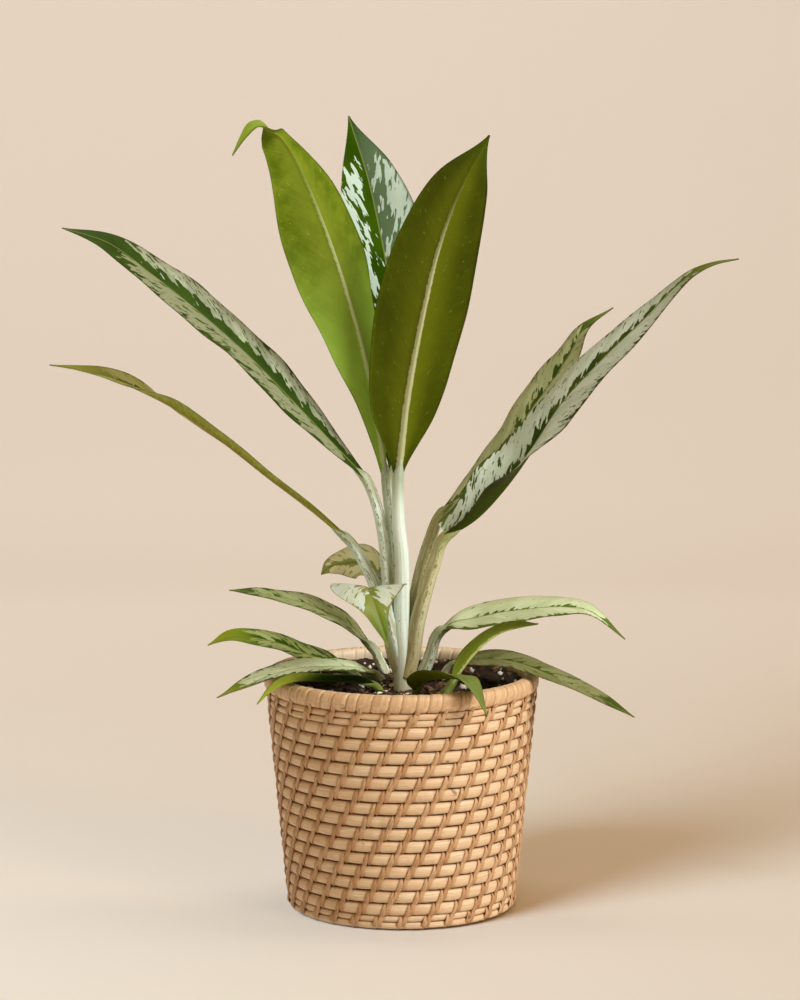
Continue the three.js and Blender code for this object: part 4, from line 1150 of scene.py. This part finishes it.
def build_stage():
    """A pale sheet that is the floor and curves up behind the plant."""
    bend = np.linspace(0.05, 0.88, 20)
    flat = np.linspace(SHEET_FRONT, BEND_START, 8)
    y = np.concatenate([flat, BEND_START + BEND_RADIUS * np.sin(bend)])
    z = np.concatenate([np.zeros(len(flat)), BEND_RADIUS * (1 - np.cos(bend))])
    x = np.array([-SHEET_HALF_WIDTH, SHEET_HALF_WIDTH])
    points = triples((len(y), 2), x, y[:, None], z[:, None])
    item = place_mesh("backdrop", points, grid_faces(len(y), 2), [sheet_paint()])
    return item


def area_light(name, place, target, size, power, tint, lit):
    light = bpy.data.lights.new(name, "AREA")
    light.shape = "DISK"
    light.size = size
    light.energy = power
    light.color = tint
    item = bpy.data.objects.new(name, light)
    item.location = place
    item.rotation_euler = (Vector(target) - Vector(place)).to_track_quat("-Z", "Y").to_euler()
    bpy.context.scene.collection.objects.link(item)
    group = bpy.data.collections.new(name + "_lit")
    for other in lit:
        group.objects.link(other)
    item.light_linking.receiver_collection = group


def build_light(sheet):
    world = bpy.data.worlds.new("studio")
    world.use_nodes = True
    sky = world.node_tree.nodes["Background"]
    sky.inputs["Color"].default_value = SKY_COLOUR
    sky.inputs["Strength"].default_value = SKY_STRENGTH
    bpy.context.scene.world = world
    parts = [item for item in bpy.context.scene.objects if item.type == "MESH" and item != sheet]
    for *settings, lit in LIGHTS:
        area_light(*settings, [sheet] if lit == "sheet" else parts)


def build_camera():
    camera = bpy.data.cameras.new("camera")
    camera.lens = CAMERA_LENS
    camera.sensor_width = CAMERA_SENSOR
    camera.sensor_fit = "AUTO"
    item = bpy.data.objects.new("camera", camera)
    item.location = CAMERA_PLACE
    item.rotation_euler = (math.radians(90 - CAMERA_PITCH), 0, 0)
    bpy.context.scene.collection.objects.link(item)
    bpy.context.scene.camera = item
    bpy.context.scene.view_settings.view_transform = "Standard"


cane = rattan("rattan_cane", "edd5b3", "d8b084", "74421f", 0.3)
coils(cane)
lashing(rattan("rattan_strip", "deb88c", "b07e4e", "5e3a1a", 0.5, strip=True))
rim(rattan("rattan_wrap", "e4c59c", "cb9f74", "7c5432", 0.42))
basket_base(cane)
liner_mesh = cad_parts["liner"].data
liner_mesh.materials.clear()
liner_mesh.materials.append(liner_paint())
soil(soil_paint())
loose_bits("bark_bits", bark_paint(), count=460, seed=3, sizes=(2.0, 6.0), flatness=0.5, rough=1.3,
           lift=0.15, near=0.45, smooth=False)
loose_bits("perlite_bits", perlite_paint(), count=125, seed=8, sizes=(1.5, 4.0), flatness=0.85,
           rough=0.8, lift=0.45, near=0.2, smooth=True)
build_plant()
build_light(build_stage())
build_camera()
